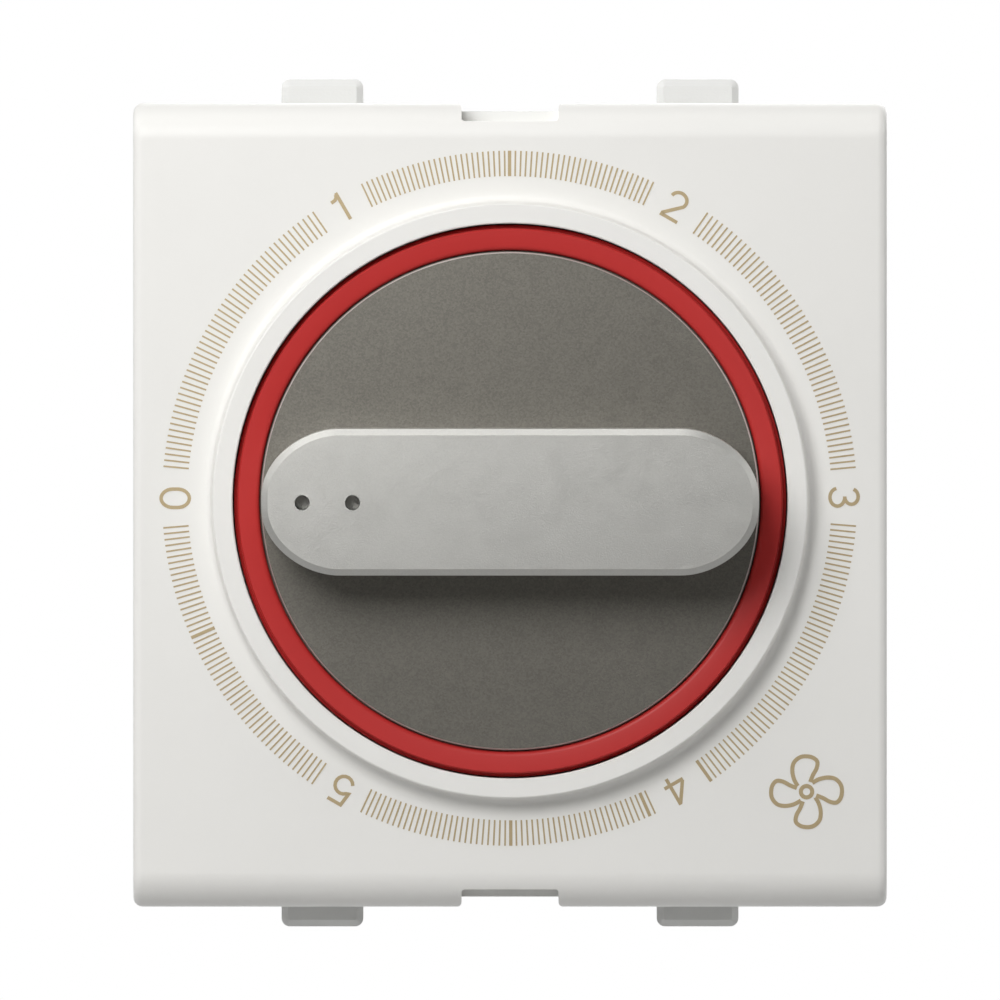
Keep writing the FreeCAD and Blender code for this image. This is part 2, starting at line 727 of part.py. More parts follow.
def rotor_shaft():
    body = new_body("rotor_shaft", up="knob_rise")
    half = sketch(body, "shaft_profile", "top")
    polygon(half, [("0", "-shaft_front"), ("shaft_radius - shaft_end_chamfer", "-shaft_front"),
                   ("shaft_radius", "-shaft_front + shaft_end_chamfer"),
                   ("shaft_radius", "shaft_collar_front"), ("shaft_collar_radius", "shaft_collar_front"),
                   ("shaft_collar_radius", "shaft_collar_back"), ("shaft_radius", "shaft_collar_back"),
                   ("shaft_radius", "clip_groove_front"),
                   ("clip_groove_radius", "clip_groove_front"), ("clip_groove_radius", "clip_groove_back"),
                   ("shaft_radius", "clip_groove_back"), ("shaft_radius", "shaft_end - shaft_end_chamfer"),
                   ("shaft_radius - shaft_end_chamfer", "shaft_end"), ("0", "shaft_end")])
    turned(body, "shaft_round", half)
    front_flat = sketch(body, "front_flat_outline", "front", "shaft_front")
    rectangle(front_flat, "-shaft_radius", "shaft_radius", "flat_height", "shaft_radius + running_clearance")
    cut(body, "front_flat", front_flat, "shaft_front - shaft_flat_back")
    rear_flat = sketch(body, "rear_flat_outline", "front", "-shaft_collar_back")
    rectangle(rear_flat, "-shaft_radius", "shaft_radius", "flat_height", "shaft_radius + running_clearance")
    cut(body, "rear_flat", rear_flat, "shaft_rear_flat_end - shaft_collar_back")
    return body


def keyed_hole(body, name, level, length):
    """Hole that fits the flattened stretch of the shaft."""
    hole = sketch(body, f"{name}_outline", "front", level)
    circle(hole, "0", "0", "shaft_radius + running_clearance")
    cut(body, name, hole, length)
    key = sketch(body, f"{name}_flat_outline", "front", f"{level} - ({length})")
    rectangle(key, "-flat_height", "flat_height", "flat_height + flat_clearance", "shaft_radius + key_over")
    pad(body, f"{name}_flat", key, length)


def detent_wheel():
    body = new_body("detent_wheel", up="knob_rise")
    blank = sketch(body, "wheel_outline", "front", "-wheel_back")
    circle(blank, "0", "0", "wheel_radius")
    pad(body, "wheel_blank", blank, "wheel_back - wheel_front")
    hub = sketch(body, "wheel_hub_outline", "front", "-wheel_hub_back")
    circle(hub, "0", "0", "wheel_hub_radius")
    pad(body, "wheel_hub", hub, "wheel_hub_back - wheel_back")
    notch = sketch(body, "wheel_notch_outline", "front", "-wheel_front")
    circle(notch, "0", "-wheel_notch_centre", "wheel_notch_radius")
    first = cut(body, "wheel_notch", notch, "wheel_back - wheel_front")
    pattern = body.newObject("PartDesign::PolarPattern", "wheel_notches")
    pattern.Originals = [first]
    pattern.Axis = (notch, ["N_Axis"])
    pattern.Angle = 360
    bind(pattern, "Occurrences", "position_count")
    body.Tip = pattern
    doc.recompute()
    keyed_hole(body, "wheel_bore", "-wheel_front", "wheel_hub_back - wheel_front")
    return body


def detent_spring():
    body = new_body("detent_spring", up="knob_rise")
    profile = sketch(body, "leaf_profile", "front", "-leaf_back")
    crest = "leaf_top + leaf_bump_height"
    upper = [("-leaf_half_length", "leaf_top"), ("-leaf_bump_half - leaf_bump_height", "leaf_top"),
             ("-leaf_bump_flat", crest), ("leaf_bump_flat", crest),
             ("leaf_bump_half + leaf_bump_height", "leaf_top"), ("leaf_half_length", "leaf_top")]
    lower = [(across, f"{up} - leaf_thick") for across, up in reversed(upper)]
    polygon(profile, upper + lower)
    pad(body, "leaf", profile, "leaf_back - leaf_front")
    return body


def switch_rotor():
    body = new_body("switch_rotor", up="knob_rise")
    blank = sketch(body, "rotor_outline", "front", "-rotor_back")
    circle(blank, "0", "0", "rotor_radius")
    pad(body, "rotor_blank", blank, "rotor_back - rotor_front")
    keyed_hole(body, "rotor_bore", "-rotor_front", "rotor_back - rotor_front")
    return body


def wiper():
    body = new_body("wiper", up="knob_rise")
    profile = sketch(body, "wiper_profile", "top")
    tip, half = "wiper_tip - wiper_thick", "wiper_pad_length / 2"
    outer = [("-wiper_inner", "rotor_back"), (f"-wiper_ring_tip + {half}", tip),
             (f"-wiper_ring_tip - {half}", tip),
             (f"-wiper_ring_tip - {half} - wiper_slope", "rotor_back"),
             (f"-wiper_pad_tip + {half} + wiper_slope", "rotor_back"), (f"-wiper_pad_tip + {half}", tip),
             (f"-wiper_pad_tip - {half}", tip)]
    inner = [(across, f"{deep} + wiper_thick") for across, deep in reversed(outer)]
    polygon(profile, outer + inner)
    pad(body, "wiper_strip", profile, "wiper_width", both=True)
    return body


def shaft_circlip():
    body = new_body("shaft_circlip", up="knob_rise")
    outline = sketch(body, "circlip_outline", "front", "-clip_groove_back")
    circle(outline, "0", "0", "shaft_collar_radius")
    circle(outline, "0", "0", "clip_groove_radius + running_clearance")
    pad(body, "circlip_ring", outline, "clip_groove_back - clip_groove_front")
    gap = sketch(body, "circlip_gap_outline", "front", "-clip_groove_front")
    rectangle(gap, "-circlip_gap / 2", "circlip_gap / 2",
              "-shaft_collar_radius - circlip_gap", "-circlip_gap")
    cut(body, "circlip_gap", gap, "clip_groove_back - clip_groove_front")
    return body


def circuit_board():
    body = new_body("circuit_board")
    outline = sketch(body, "board_outline", "front", "-board_back")
    inner, shoulder = "(board_half - board_notch)", "board_top - board_notch"
    polygon(outline, [("-board_half", "board_bottom"), ("board_half", "board_bottom"),
                      ("board_half", shoulder), (inner, shoulder), (inner, "board_top"),
                      (f"-{inner}", "board_top"), (f"-{inner}", shoulder), ("-board_half", shoulder)])
    pad(body, "board", outline, "board_thick")
    holes = sketch(body, "board_hole_outline", "front", "-board_front")
    circle(holes, "0", "knob_rise", "board_hole_radius")
    for side in ("", "-"):
        for level in ("stud_top_z", "stud_bottom_z"):
            circle(holes, f"{side}stud_x", level, "stud_pin_radius + pin_clearance")
    cut(body, "board_holes", holes, "board_thick")
    rivets = sketch(body, "rivet_hole_outline", "front", "-board_front")
    bind(rivets, "AttachmentOffset.Base.y", "knob_rise")
    circle(rivets, "-contact_circle", "0", "contact_shank + pin_clearance")
    first = cut(body, "rivet_hole", rivets, "board_thick")
    pattern = body.newObject("PartDesign::PolarPattern", "rivet_holes")
    pattern.Originals = [first]
    pattern.Axis = (rivets, ["N_Axis"])
    pattern.Angle = 360
    bind(pattern, "Occurrences", "position_count")
    body.Tip = pattern
    doc.recompute()
    return body


def fixed_contact(number):
    """Rivet contact of one knob position; number 0 lies to the left and the next ones follow clockwise."""
    angle = f"180 - {number} * 360 / position_count"
    body = new_body(f"fixed_contact_{number}", across=f"contact_circle * cos(({angle}) * 1deg)",
                    up=f"knob_rise + contact_circle * sin(({angle}) * 1deg)")
    profile = sketch(body, "contact_profile", "top")
    polygon(profile, [("0", "board_front - contact_head"),
                      ("contact_radius - contact_bevel", "board_front - contact_head"),
                      ("contact_radius", "board_front - contact_head + contact_bevel"),
                      ("contact_radius", "board_front"), ("contact_shank", "board_front"),
                      ("contact_shank", "board_back"), ("0", "board_back")])
    turned(body, "contact_rivet", profile)
    return body


def common_ring():
    body = new_body("common_ring", up="knob_rise")
    outline = sketch(body, "common_ring_outline", "front", "-board_front")
    circle(outline, "0", "0", "common_outer")
    circle(outline, "0", "0", "common_inner")
    pad(body, "common_track", outline, "common_thick")
    return body


def capacitor(name, size):
    """Box capacitor standing on the back of the board."""
    body = new_body(name)
    outline = sketch(body, f"{size}_case_outline", "front", f"-(board_back + {size}_depth)")
    rectangle(outline, f"-{size}_length / 2", f"{size}_length / 2", f"{size}_bottom",
              f"{size}_bottom + {size}_height")
    pad(body, f"{size}_case", outline, f"{size}_depth")
    back = values["board_front"] + values["board_thick"] + values[f"{size}_depth"]
    bevel_edges(body, f"{size}_case_bevel", lambda edge, middle: near(middle.y, back), "component_bevel")
    return body


def resistor(name, side):
    """Axial resistor at the back of the board beside the shaft, its two leads bent down to the board."""
    body = new_body(name, across=f"{side}resistor_x",
                    back="board_back + resistor_stand + resistor_cap_radius", up="knob_rise")
    half, cap, foot = "resistor_length / 2", "resistor_cap_length", "-resistor_stand - resistor_cap_radius"
    profile = sketch(body, "resistor_profile", "side")
    polygon(profile, [("0", f"-{half}"), ("resistor_cap_radius", f"-{half}"),
                      ("resistor_cap_radius", f"-{half} + {cap}"),
                      ("resistor_radius", f"-{half} + {cap} + resistor_step"),
                      ("resistor_radius", f"{half} - {cap} - resistor_step"),
                      ("resistor_cap_radius", f"{half} - {cap}"), ("resistor_cap_radius", half), ("0", half)])
    turned(body, "resistor_barrel", profile)
    lead = sketch(body, "lead_outline", "side")
    pitch, wire = "resistor_pitch / 2", "resistor_lead / 2"
    polygon(lead, [(foot, f"-{pitch} - {wire}"), (wire, f"-{pitch} - {wire}"),
                   (wire, f"{pitch} + {wire}"), (foot, f"{pitch} + {wire}"),
                   (foot, f"{pitch} - {wire}"), (f"-{wire}", f"{pitch} - {wire}"),
                   (f"-{wire}", f"-{pitch} + {wire}"), (foot, f"-{pitch} + {wire}")])
    pad(body, "resistor_leads", lead, "resistor_lead", both=True)
    return body


def terminal(name, side):
    """Brass box clamp, open above and below for the wire, threaded at the back for the clamp screw."""
    body = new_body(name, across=f"{side}terminal_x")
    outline = sketch(body, "cage_outline", "top", "-inner_wall_z")
    rectangle(outline, "-terminal_width / 2", "terminal_width / 2", "terminal_front", "terminal_back")
    pad(body, "cage_block", outline, "terminal_height")
    round_edges(body, "cage_rounds", lambda edge, middle: along(edge, height_axis), "terminal_round")
    tunnel = sketch(body, "tunnel_outline", "top", "-inner_wall_z")
    rectangle(tunnel, "-terminal_width / 2 + terminal_side_wall", "terminal_width / 2 - terminal_side_wall",
              "terminal_front + terminal_front_wall", "terminal_back - terminal_back_wall")
    cut(body, "wire_tunnel", tunnel, "terminal_height", forward=True)
    thread = sketch(body, "thread_outline", "front", "-terminal_back + terminal_back_wall")
    circle(thread, "0", "terminal_z", "screw_radius + running_clearance")
    cut(body, "screw_thread", thread, "terminal_back_wall")
    return body


def pressure_plate(name, side):
    body = new_body(name, across=f"{side}terminal_x", back="clamp_seat", up="terminal_z")
    outline = sketch(body, "clamp_outline", "front", "-clamp_thick")
    rectangle(outline, "-terminal_width / 2 + terminal_side_wall + clamp_play",
              "terminal_width / 2 - terminal_side_wall - clamp_play", "-clamp_height / 2", "clamp_height / 2")
    pad(body, "clamp_block", outline, "clamp_thick")
    neck = sketch(body, "neck_hole_outline", "front")
    circle(neck, "0", "0", "screw_neck_radius + running_clearance")
    cut(body, "neck_hole", neck, "clamp_thick")
    sink = sketch(body, "rivet_sink_outline", "front")
    circle(sink, "0", "0", "screw_rivet_radius + running_clearance")
    cut(body, "rivet_sink", sink, "screw_rivet_thick")
    return body


def clamp_screw(name, side):
    """Clamp screw swaged into the pressure plate, its head in the well of the rear cover."""
    head = "terminal_back - clamp_seat + screw_head_gap + screw_travel"
    body = new_body(name, across=f"{side}terminal_x", back="clamp_seat", up="terminal_z")
    profile = sketch(body, "screw_profile", "top")
    polygon(profile, [("0", "0"), ("screw_rivet_radius", "0"), ("screw_rivet_radius", "screw_rivet_thick"),
                      ("screw_neck_radius", "screw_rivet_thick"), ("screw_neck_radius", "clamp_thick"),
                      ("screw_radius", "clamp_thick"), ("screw_radius", head),
                      ("screw_head_radius - screw_edge", head), ("screw_head_radius", f"{head} + screw_edge"),
                      ("screw_head_radius", f"{head} + screw_head_thick - screw_edge"),
                      ("screw_head_radius - screw_edge", f"{head} + screw_head_thick"),
                      ("0", f"{head} + screw_head_thick")])
    turned(body, "screw_round", profile)
    slot = sketch(body, "screw_slot_outline", "front", f"-({head} + screw_head_thick)")
    rectangle(slot, "-screw_head_radius - screw_edge", "screw_head_radius + screw_edge",
              "-screw_slot_width / 2", "screw_slot_width / 2")
    cut(body, "screw_slot", slot, "screw_slot_depth", forward=True)
    return body


def strip(name, side):
    """Brass strip from the front of a terminal up to the back of the board."""
    body = new_body(name, across=f"{side}terminal_x")
    outline = sketch(body, "strip_outline", "front", "-terminal_front")
    rectangle(outline, "-strip_width / 2", "strip_width / 2", "-inner_wall_z + strip_rise", "strip_top")
    pad(body, "strip_blade", outline, "strip_thick")
    top = values["strip_top"]
    round_edges(body, "strip_rounds", lambda edge, middle: along(edge, depth_axis) and near(middle.z, top),
                "terminal_round")
    return body


def rear_cover():
    body = new_body("rear_cover")
    outline = sketch(body, "cover_outline", "front", "-(box_depth + cover_thick)")
    rectangle(outline, "-box_width / 2", "box_width / 2", "-box_height / 2", "box_height / 2")
    pad(body, "cover_plate", outline, "cover_thick")
    back = values["box_depth"] + values["cover_thick"]
    round_edges(body, "cover_corners", lambda edge, middle: along(edge, depth_axis), "box_corner")
    bevel_edges(body, "cover_bevel", lambda edge, middle: near(middle.y, back), "cover_edge")
    lips = sketch(body, "cover_lip_outline", "front", "-box_depth")
    wells = sketch(body, "screw_well_outline", "front", "-box_depth")
    bores = sketch(body, "screw_well_bore_outline", "front", "-(terminal_back)")
    holes = sketch(body, "cover_hole_outline", "front", "-box_depth")
    for side in ("", "-"):
        rectangle(lips, f"{side}(inner_wall_x - cover_lip_play - cover_lip_thick)",
                  f"{side}(inner_wall_x - cover_lip_play)", "-cover_lip_half", "cover_lip_half")
        rectangle(lips, "-cover_lip_half", "cover_lip_half", f"{side}(inner_wall_z - cover_lip_play)",
                  f"{side}(inner_wall_z - cover_lip_play - cover_lip_thick)")
        circle(wells, f"{side}terminal_x", "terminal_z", "well_screw_outer")
        circle(bores, f"{side}terminal_x", "terminal_z", "well_screw_radius")
        for end in ("", "-"):
            circle(holes, f"{side}post_x", f"{end}post_z", "cover_hole_radius")
    pad(body, "cover_lips", lips, "cover_lip_depth")
    pad(body, "screw_wells", wells, "box_depth - terminal_back")
    cut(body, "screw_well_bores", bores, "box_depth + cover_thick - terminal_back")
    cut(body, "cover_holes", holes, "cover_thick")
    bevel_edges(body, "cover_sinks", lambda edge, middle: near(middle.y, back)
                and near(edge.Length, math.tau * values["cover_hole_radius"], 0.01),
                "cover_screw_head - cover_screw_radius - running_clearance")
    vent = sketch(body, "vent_outline", "front", "-box_depth")
    rectangle(vent, "-vent_length / 2", "vent_length / 2", "vent_bottom", "vent_bottom + vent_width")
    first = cut(body, "vent", vent, "cover_thick")
    vents = body.newObject("PartDesign::LinearPattern", "vents")
    vents.Originals = [first]
    vents.Direction = (vent, ["V_Axis"])
    bind(vents, "Length", "vent_pitch * (vent_count - 1)")
    bind(vents, "Occurrences", "vent_count")
    body.Tip = vents
    doc.recompute()
    return body


def cover_screw(name, side, end):
    """Self-tapping countersunk screw through the rear cover into a post of the housing."""
    body = new_body(name, across=f"{side}post_x", back="box_depth + cover_thick", up=f"{end}post_z")
    profile = sketch(body, "cover_screw_profile", "top")
    polygon(profile, [("0", "0"), ("cover_screw_head", "0"),
                      ("cover_screw_radius", "-cover_screw_head_depth"),
                      ("cover_screw_radius", "-cover_screw_length + cover_screw_tip"),
                      ("cover_screw_radius - cover_screw_tip", "-cover_screw_length"),
                      ("0", "-cover_screw_length")])
    turned(body, "cover_screw_round", profile)
    cross = sketch(body, "cross_outline", "front", "0")
    wide, slim = "cover_cross_length / 2", "cover_cross_width / 2"
    polygon(cross, [(wide, f"-{slim}"), (wide, slim), (slim, slim), (slim, wide),
                    (f"-{slim}", wide), (f"-{slim}", slim), (f"-{wide}", slim),
                    (f"-{wide}", f"-{slim}"),
                    (f"-{slim}", f"-{slim}"), (f"-{slim}", f"-{wide}"),
                    (slim, f"-{wide}"), (slim, f"-{slim}")])
    cut(body, "cover_cross", cross, "cover_cross_depth", forward=True)
    return body


nodes = [front_plate(), housing(), rear_cover(), knob_disc(), knob_ring(), grip_bar(), knob_clip(),
         rotor_shaft(), detent_wheel(), detent_spring(), shaft_circlip(), switch_rotor(), wiper(),
         circuit_board(), common_ring(), capacitor("capacitor_large", "large"),
         capacitor("capacitor_small", "small"), resistor("resistor_left", "-"),
         resistor("resistor_right", "")]
nodes += [fixed_contact(number) for number in range(int(values["position_count"]))]
for word, side in (("line", "-"), ("load", "")):
    nodes += [terminal(f"{word}_terminal", side), pressure_plate(f"{word}_pressure_plate", side),
              clamp_screw(f"{word}_screw", side), strip(f"{word}_strip", side)]
for level, end in (("top", ""), ("bottom", "-")):
    for word, side in (("left", "-"), ("right", "")):
        nodes.append(cover_screw(f"cover_screw_{level}_{word}", side, end))

doc.recompute()
for item in doc.Objects:
    if "Invalid" in item.State or "Error" in item.State:
        raise RuntimeError(f"{item.Name} did not build: {item.State}")
for node in nodes:
    shape = node.Shape
    if shape.isNull() or not shape.isValid():
        raise RuntimeError(f"{node.Name} has no valid shape")
    shape.exportStep(f"parts/{node.Name}.step")
    print(f"{node.Name}: {len(shape.Solids)} solid, {shape.Volume:.1f} mm3")
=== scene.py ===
import json
import math
import bmesh
import bpy
from mathutils import Matrix, Vector


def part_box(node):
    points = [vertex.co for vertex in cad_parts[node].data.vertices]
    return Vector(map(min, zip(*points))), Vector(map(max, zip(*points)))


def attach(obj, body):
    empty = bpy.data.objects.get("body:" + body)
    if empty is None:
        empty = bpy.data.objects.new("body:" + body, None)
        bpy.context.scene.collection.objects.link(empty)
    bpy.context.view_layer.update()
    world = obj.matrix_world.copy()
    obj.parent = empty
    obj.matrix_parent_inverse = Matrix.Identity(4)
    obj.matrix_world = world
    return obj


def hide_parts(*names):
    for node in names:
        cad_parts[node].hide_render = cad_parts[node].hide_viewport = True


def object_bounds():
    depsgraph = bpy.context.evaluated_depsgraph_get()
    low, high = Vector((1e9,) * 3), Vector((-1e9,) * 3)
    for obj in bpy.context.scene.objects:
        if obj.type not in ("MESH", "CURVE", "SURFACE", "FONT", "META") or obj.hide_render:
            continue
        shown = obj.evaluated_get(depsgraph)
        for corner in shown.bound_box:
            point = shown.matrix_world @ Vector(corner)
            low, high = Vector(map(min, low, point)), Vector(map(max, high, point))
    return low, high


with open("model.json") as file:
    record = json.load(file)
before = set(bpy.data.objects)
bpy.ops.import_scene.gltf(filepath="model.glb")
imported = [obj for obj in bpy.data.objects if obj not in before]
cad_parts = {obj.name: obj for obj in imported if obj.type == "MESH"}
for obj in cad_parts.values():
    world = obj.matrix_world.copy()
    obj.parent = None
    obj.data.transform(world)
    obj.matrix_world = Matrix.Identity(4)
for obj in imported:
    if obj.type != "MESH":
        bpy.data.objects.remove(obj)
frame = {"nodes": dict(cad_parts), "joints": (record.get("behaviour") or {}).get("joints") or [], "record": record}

cadBox = [list(corner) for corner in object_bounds()]
mm = 0.001
scene = bpy.context.scene
scene.view_settings.view_transform = "Standard"

# The knob turns about a line along Y at this height, in mm.
knobUp = frame["joints"][0]["pos_m"][2] / mm


def level(y):
    # distance ahead of the seat plane, in mm
    return -y / mm


plateBox, ringBox, gripBox = (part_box(node) for node in ("front_plate", "knob_ring", "grip_bar"))
plateWidth, plateHeight = 2 * plateBox[1].x / mm, 2 * plateBox[1].z / mm
collarTop = level(plateBox[0].y)
ringRadius = ringBox[1].x / mm
knobFront = level(ringBox[0].y)
plateFace = 9.0  # front of the plate, mm ahead of the seat plane
near = 0.01  # places closer than this count as the same, in mm
cutOver = 1.0  # how far a cutter goes beyond the faces that it cuts, in mm
roundSteps = 256  # flats of a full circle
crispAngle = 30  # edges sharper than this stay crisp, in degrees


def same(first, second):
    return abs(first - second) < near


def bothAt(start, stop, height):
    # whether both ends of an edge lie at this level
    return same(-start.y, height) and same(-stop.y, height)


# shader helpers
class Signal:
    # a shader socket that takes part in plain arithmetic
    def __init__(self, tree, socket):
        self.tree = tree
        self.socket = socket

    def maths(self, operation, first, second):
        node = self.tree.nodes.new("ShaderNodeMath")
        node.operation = operation
        for place, value in zip(node.inputs, (first, second)):
            plug(self.tree, place, value)
        return Signal(self.tree, node.outputs[0])

    def __add__(self, other):
        return self.maths("ADD", self, other)

    def __sub__(self, other):
        return self.maths("SUBTRACT", self, other)

    def __rsub__(self, other):
        return self.maths("SUBTRACT", other, self)

    def __mul__(self, other):
        return self.maths("MULTIPLY", self, other)

    def __gt__(self, other):
        return self.maths("GREATER_THAN", self, other)

    def __lt__(self, other):
        return self.maths("LESS_THAN", self, other)

    __radd__ = __add__
    __rmul__ = __mul__


def plug(tree, socket, value):
    if isinstance(value, Signal):
        tree.links.new(value.socket, socket)
    else:
        socket.default_value = value


class Finish:
    # one material with its own nodes
    def __init__(self, name, **constants):
        self.material = bpy.data.materials.new(name)
        self.material.use_nodes = True
        self.tree = self.material.node_tree
        self.shader = self.tree.nodes["Principled BSDF"]
        self.out = self.tree.nodes["Material Output"]
        for socket, value in constants.items():
            self.shader.inputs[socket.replace("_", " ")].default_value = value
        self.place = self.node("TexCoord", {}, {}, "Object")

    def node(self, kind, settings, values, output=0):
        made = self.tree.nodes.new("ShaderNode" + kind)
        for name, value in settings.items():
            setattr(made, name, value)
        for name, value in values.items():
            plug(self.tree, made.inputs[name], value)
        return Signal(self.tree, made.outputs[output])

    def set(self, socket, value):
        plug(self.tree, self.shader.inputs[socket], value)

    def noise(self, size, detail=2.0, roughness=0.5):
        # soft blotches of about this size in mm
        values = {"Vector": self.place, "Scale": 1 / (size * mm), "Detail": detail, "Roughness": roughness}
        return self.node("TexNoise", {}, values, "Fac")

    def grains(self, size):
        # one random grey for each grain of this size in mm
        values = {"Vector": self.place, "Scale": 1 / (size * mm), "Randomness": 1.0}
        cell = self.node("TexVoronoi", {}, values, "Color")
        return self.node("SeparateColor", {}, {"Color": cell}, "Red")

    def blend(self, factor, first, second):
        # each colour is three numbers or comes from another blend
        first, second = (colour if isinstance(colour, Signal) else (*colour, 1) for colour in (first, second))
        return self.node("Mix", {"data_type": "RGBA"}, {"Factor": factor, 6: first, 7: second}, 2)

    def vary(self, socket, middle, spread, pattern):
        # the middle value, with a pattern of 0 to 1 spread about it
        self.set(socket, middle + spread * (pattern - 0.5))

    def bump(self, height, depth):
        # depth in mm
        self.set("Normal", self.node("Bump", {}, {"Height": height, "Distance": depth * mm, "Strength": 1.0}))


def shade(colour, factor):
    return tuple(min(1.0, channel * factor) for channel in colour)


# finishes
def mouldedPlastic(name, colour, roughness, texture, depth, specular=0.5):
    # texture and depth are the width and height of its fine grain in mm
    finish = Finish(name, IOR=1.49, Specular_IOR_Level=specular)
    drift = finish.noise(6.0, detail=3.0)
    finish.set("Base Color", finish.blend(drift, shade(colour, 0.985), shade(colour, 1.015)))
    grain = finish.noise(texture, detail=4.0, roughness=0.6)
    finish.vary("Roughness", roughness, 0.12, grain)
    finish.bump(grain, depth)
    return finish.material


def metallicLacquer(name, colour, flake, metal, roughness, spread):
    # flakes of this size in mm, their tone spread about the colour
    finish = Finish(name)
    flakes = finish.grains(flake)
    cloud = finish.noise(1.2, detail=3.0)
    tone = flakes * 0.7 + cloud * 0.3
    finish.set("Base Color", finish.blend(tone, shade(colour, 1 - spread), shade(colour, 1 + spread)))
    finish.vary("Metallic", metal, 0.2, flakes)
    finish.vary("Roughness", roughness, 0.12, cloud)
    finish.bump(flakes, depth=0.004)
    return finish.material


def sheetMetal(name, colour, roughness, grainAxis):
    # rolled stock: fine streaks along one axis
    finish = Finish(name, Metallic=1.0)
    alongGrain, acrossGrain = 300, 6000  # streaks to a metre
    squeeze = [alongGrain if axis == grainAxis else acrossGrain for axis in "XYZ"]
    drawnOut = finish.node("VectorMath", {"operation": "MULTIPLY"}, {0: finish.place, 1: squeeze})
    streaks = finish.node("TexNoise", {}, {"Vector": drawnOut, "Scale": 1.0, "Detail": 3.0}, "Fac")
    stains = finish.noise(2.5, detail=3.0)
    finish.set("Base Color", finish.blend(stains, shade(colour, 0.9), shade(colour, 1.05)))
    finish.vary("Roughness", roughness, 0.2, streaks)
    finish.bump(streaks, depth=0.006)
    return finish.material


def boardLaminate():
    finish = Finish("board")
    fibres = finish.noise(0.35, detail=5.0, roughness=0.7)
    cloud = finish.noise(4.0)
    tone = fibres * 0.6 + cloud * 0.4
    finish.set("Base Color", finish.blend(tone, (0.22, 0.115, 0.045), (0.40, 0.24, 0.11)))
    finish.vary("Roughness", 0.45, 0.2, fibres)
    finish.bump(fibres, depth=0.01)
    return finish.material


# colour bands of a resistor, by the height of their middles over the knob's axis in mm
resistor = {"bandHalf": 0.25, "bodyHalf": 3.16, "tin": (0.6, 0.6, 0.58),
            "bands": ((-2.3, (0.30, 0.10, 0.03)), (-1.2, (0.02, 0.02, 0.02)), (-0.1, (0.75, 0.20, 0.02)),
                      (2.2, (0.60, 0.42, 0.08)))}


def resistorLacquer(r):
    # pale body with colour bands round it, tinned leads and caps beyond its ends
    finish = Finish("resistorBody")
    place = finish.node("SeparateXYZ", {}, {"Vector": finish.place}, "Z")
    along = (place - knobUp * mm) * (1 / mm)
    colour = finish.blend(finish.noise(0.8), (0.42, 0.58, 0.60), (0.48, 0.64, 0.66))
    for middle, band in r["bands"]:
        mask = (along > middle - r["bandHalf"]) * (along < middle + r["bandHalf"])
        colour = finish.blend(mask, colour, band)
    wire = 1 - (along > -r["bodyHalf"]) * (along < r["bodyHalf"])
    finish.set("Base Color", finish.blend(wire, colour, r["tin"]))
    finish.set("Metallic", wire * 0.9)
    finish.set("Roughness", 0.35 - 0.1 * wire)
    return finish.material


def printInk():
    # thin screen print, slightly uneven
    finish = Finish("printInk", Metallic=0.3)
    cover = finish.noise(0.25, detail=3.0)
    finish.set("Base Color", finish.blend(cover, (0.455, 0.355, 0.2), (0.53, 0.42, 0.25)))
    finish.vary("Roughness", 0.42, 0.15, cover)
    return finish.material


def markInk():
    # grey pad print
    finish = Finish("markInk")
    cover = finish.noise(0.3, detail=3.0)
    finish.set("Base Color", finish.blend(cover, (0.10, 0.10, 0.10), (0.15, 0.15, 0.15)))
    finish.vary("Roughness", 0.5, 0.2, cover)
    return finish.material


finishes = {
    "white_cover": mouldedPlastic("whiteCover", (0.85, 0.84, 0.808), roughness=0.42, texture=0.5,
                                  depth=0.004),
    "white_housing": mouldedPlastic("whiteHousing", (0.80, 0.80, 0.78), roughness=0.55, texture=0.16,
                                    depth=0.008),
    "red_ring": mouldedPlastic("redRing", (0.5, 0.03, 0.028), roughness=0.4, texture=0.3, depth=0.004,
                               specular=0.25),
    "dark_metallic": metallicLacquer("darkMetallic", (0.167, 0.158, 0.136), flake=0.09, metal=0.6,
                                     roughness=0.43, spread=0.22),
    "silver_metallic": metallicLacquer("silverMetallic", (0.52, 0.515, 0.488), flake=0.07, metal=0.85,
                                       roughness=0.42, spread=0.05),
    "black_moulding": mouldedPlastic("blackMoulding", (0.03, 0.03, 0.03), roughness=0.45, texture=0.2,
                                     depth=0.008),
    "zinc_steel": sheetMetal("zincSteel", (0.62, 0.62, 0.60), roughness=0.32, grainAxis="Y"),
    "spring_steel": sheetMetal("springSteel", (0.50, 0.50, 0.50), roughness=0.30, grainAxis="X"),
    "brass": sheetMetal("brass", (0.72, 0.52, 0.22), roughness=0.30, grainAxis="Z"),
    "phosphor_bronze": sheetMetal("phosphorBronze", (0.66, 0.42, 0.24), roughness=0.30, grainAxis="X"),
    "board": boardLaminate(),
    "capacitor_case": mouldedPlastic("capacitorCase", (0.75, 0.50, 0.06), roughness=0.35, texture=0.4,
                                     depth=0.006),
    "resistor_body": resistorLacquer(resistor),
}
print("finishes:", len(finishes))

for entry in frame["record"]["subparts"]:
    node = frame["nodes"][entry["node"]]
    node.data.materials.clear()
    node.data.materials.append(finishes[entry["material_slot"]])


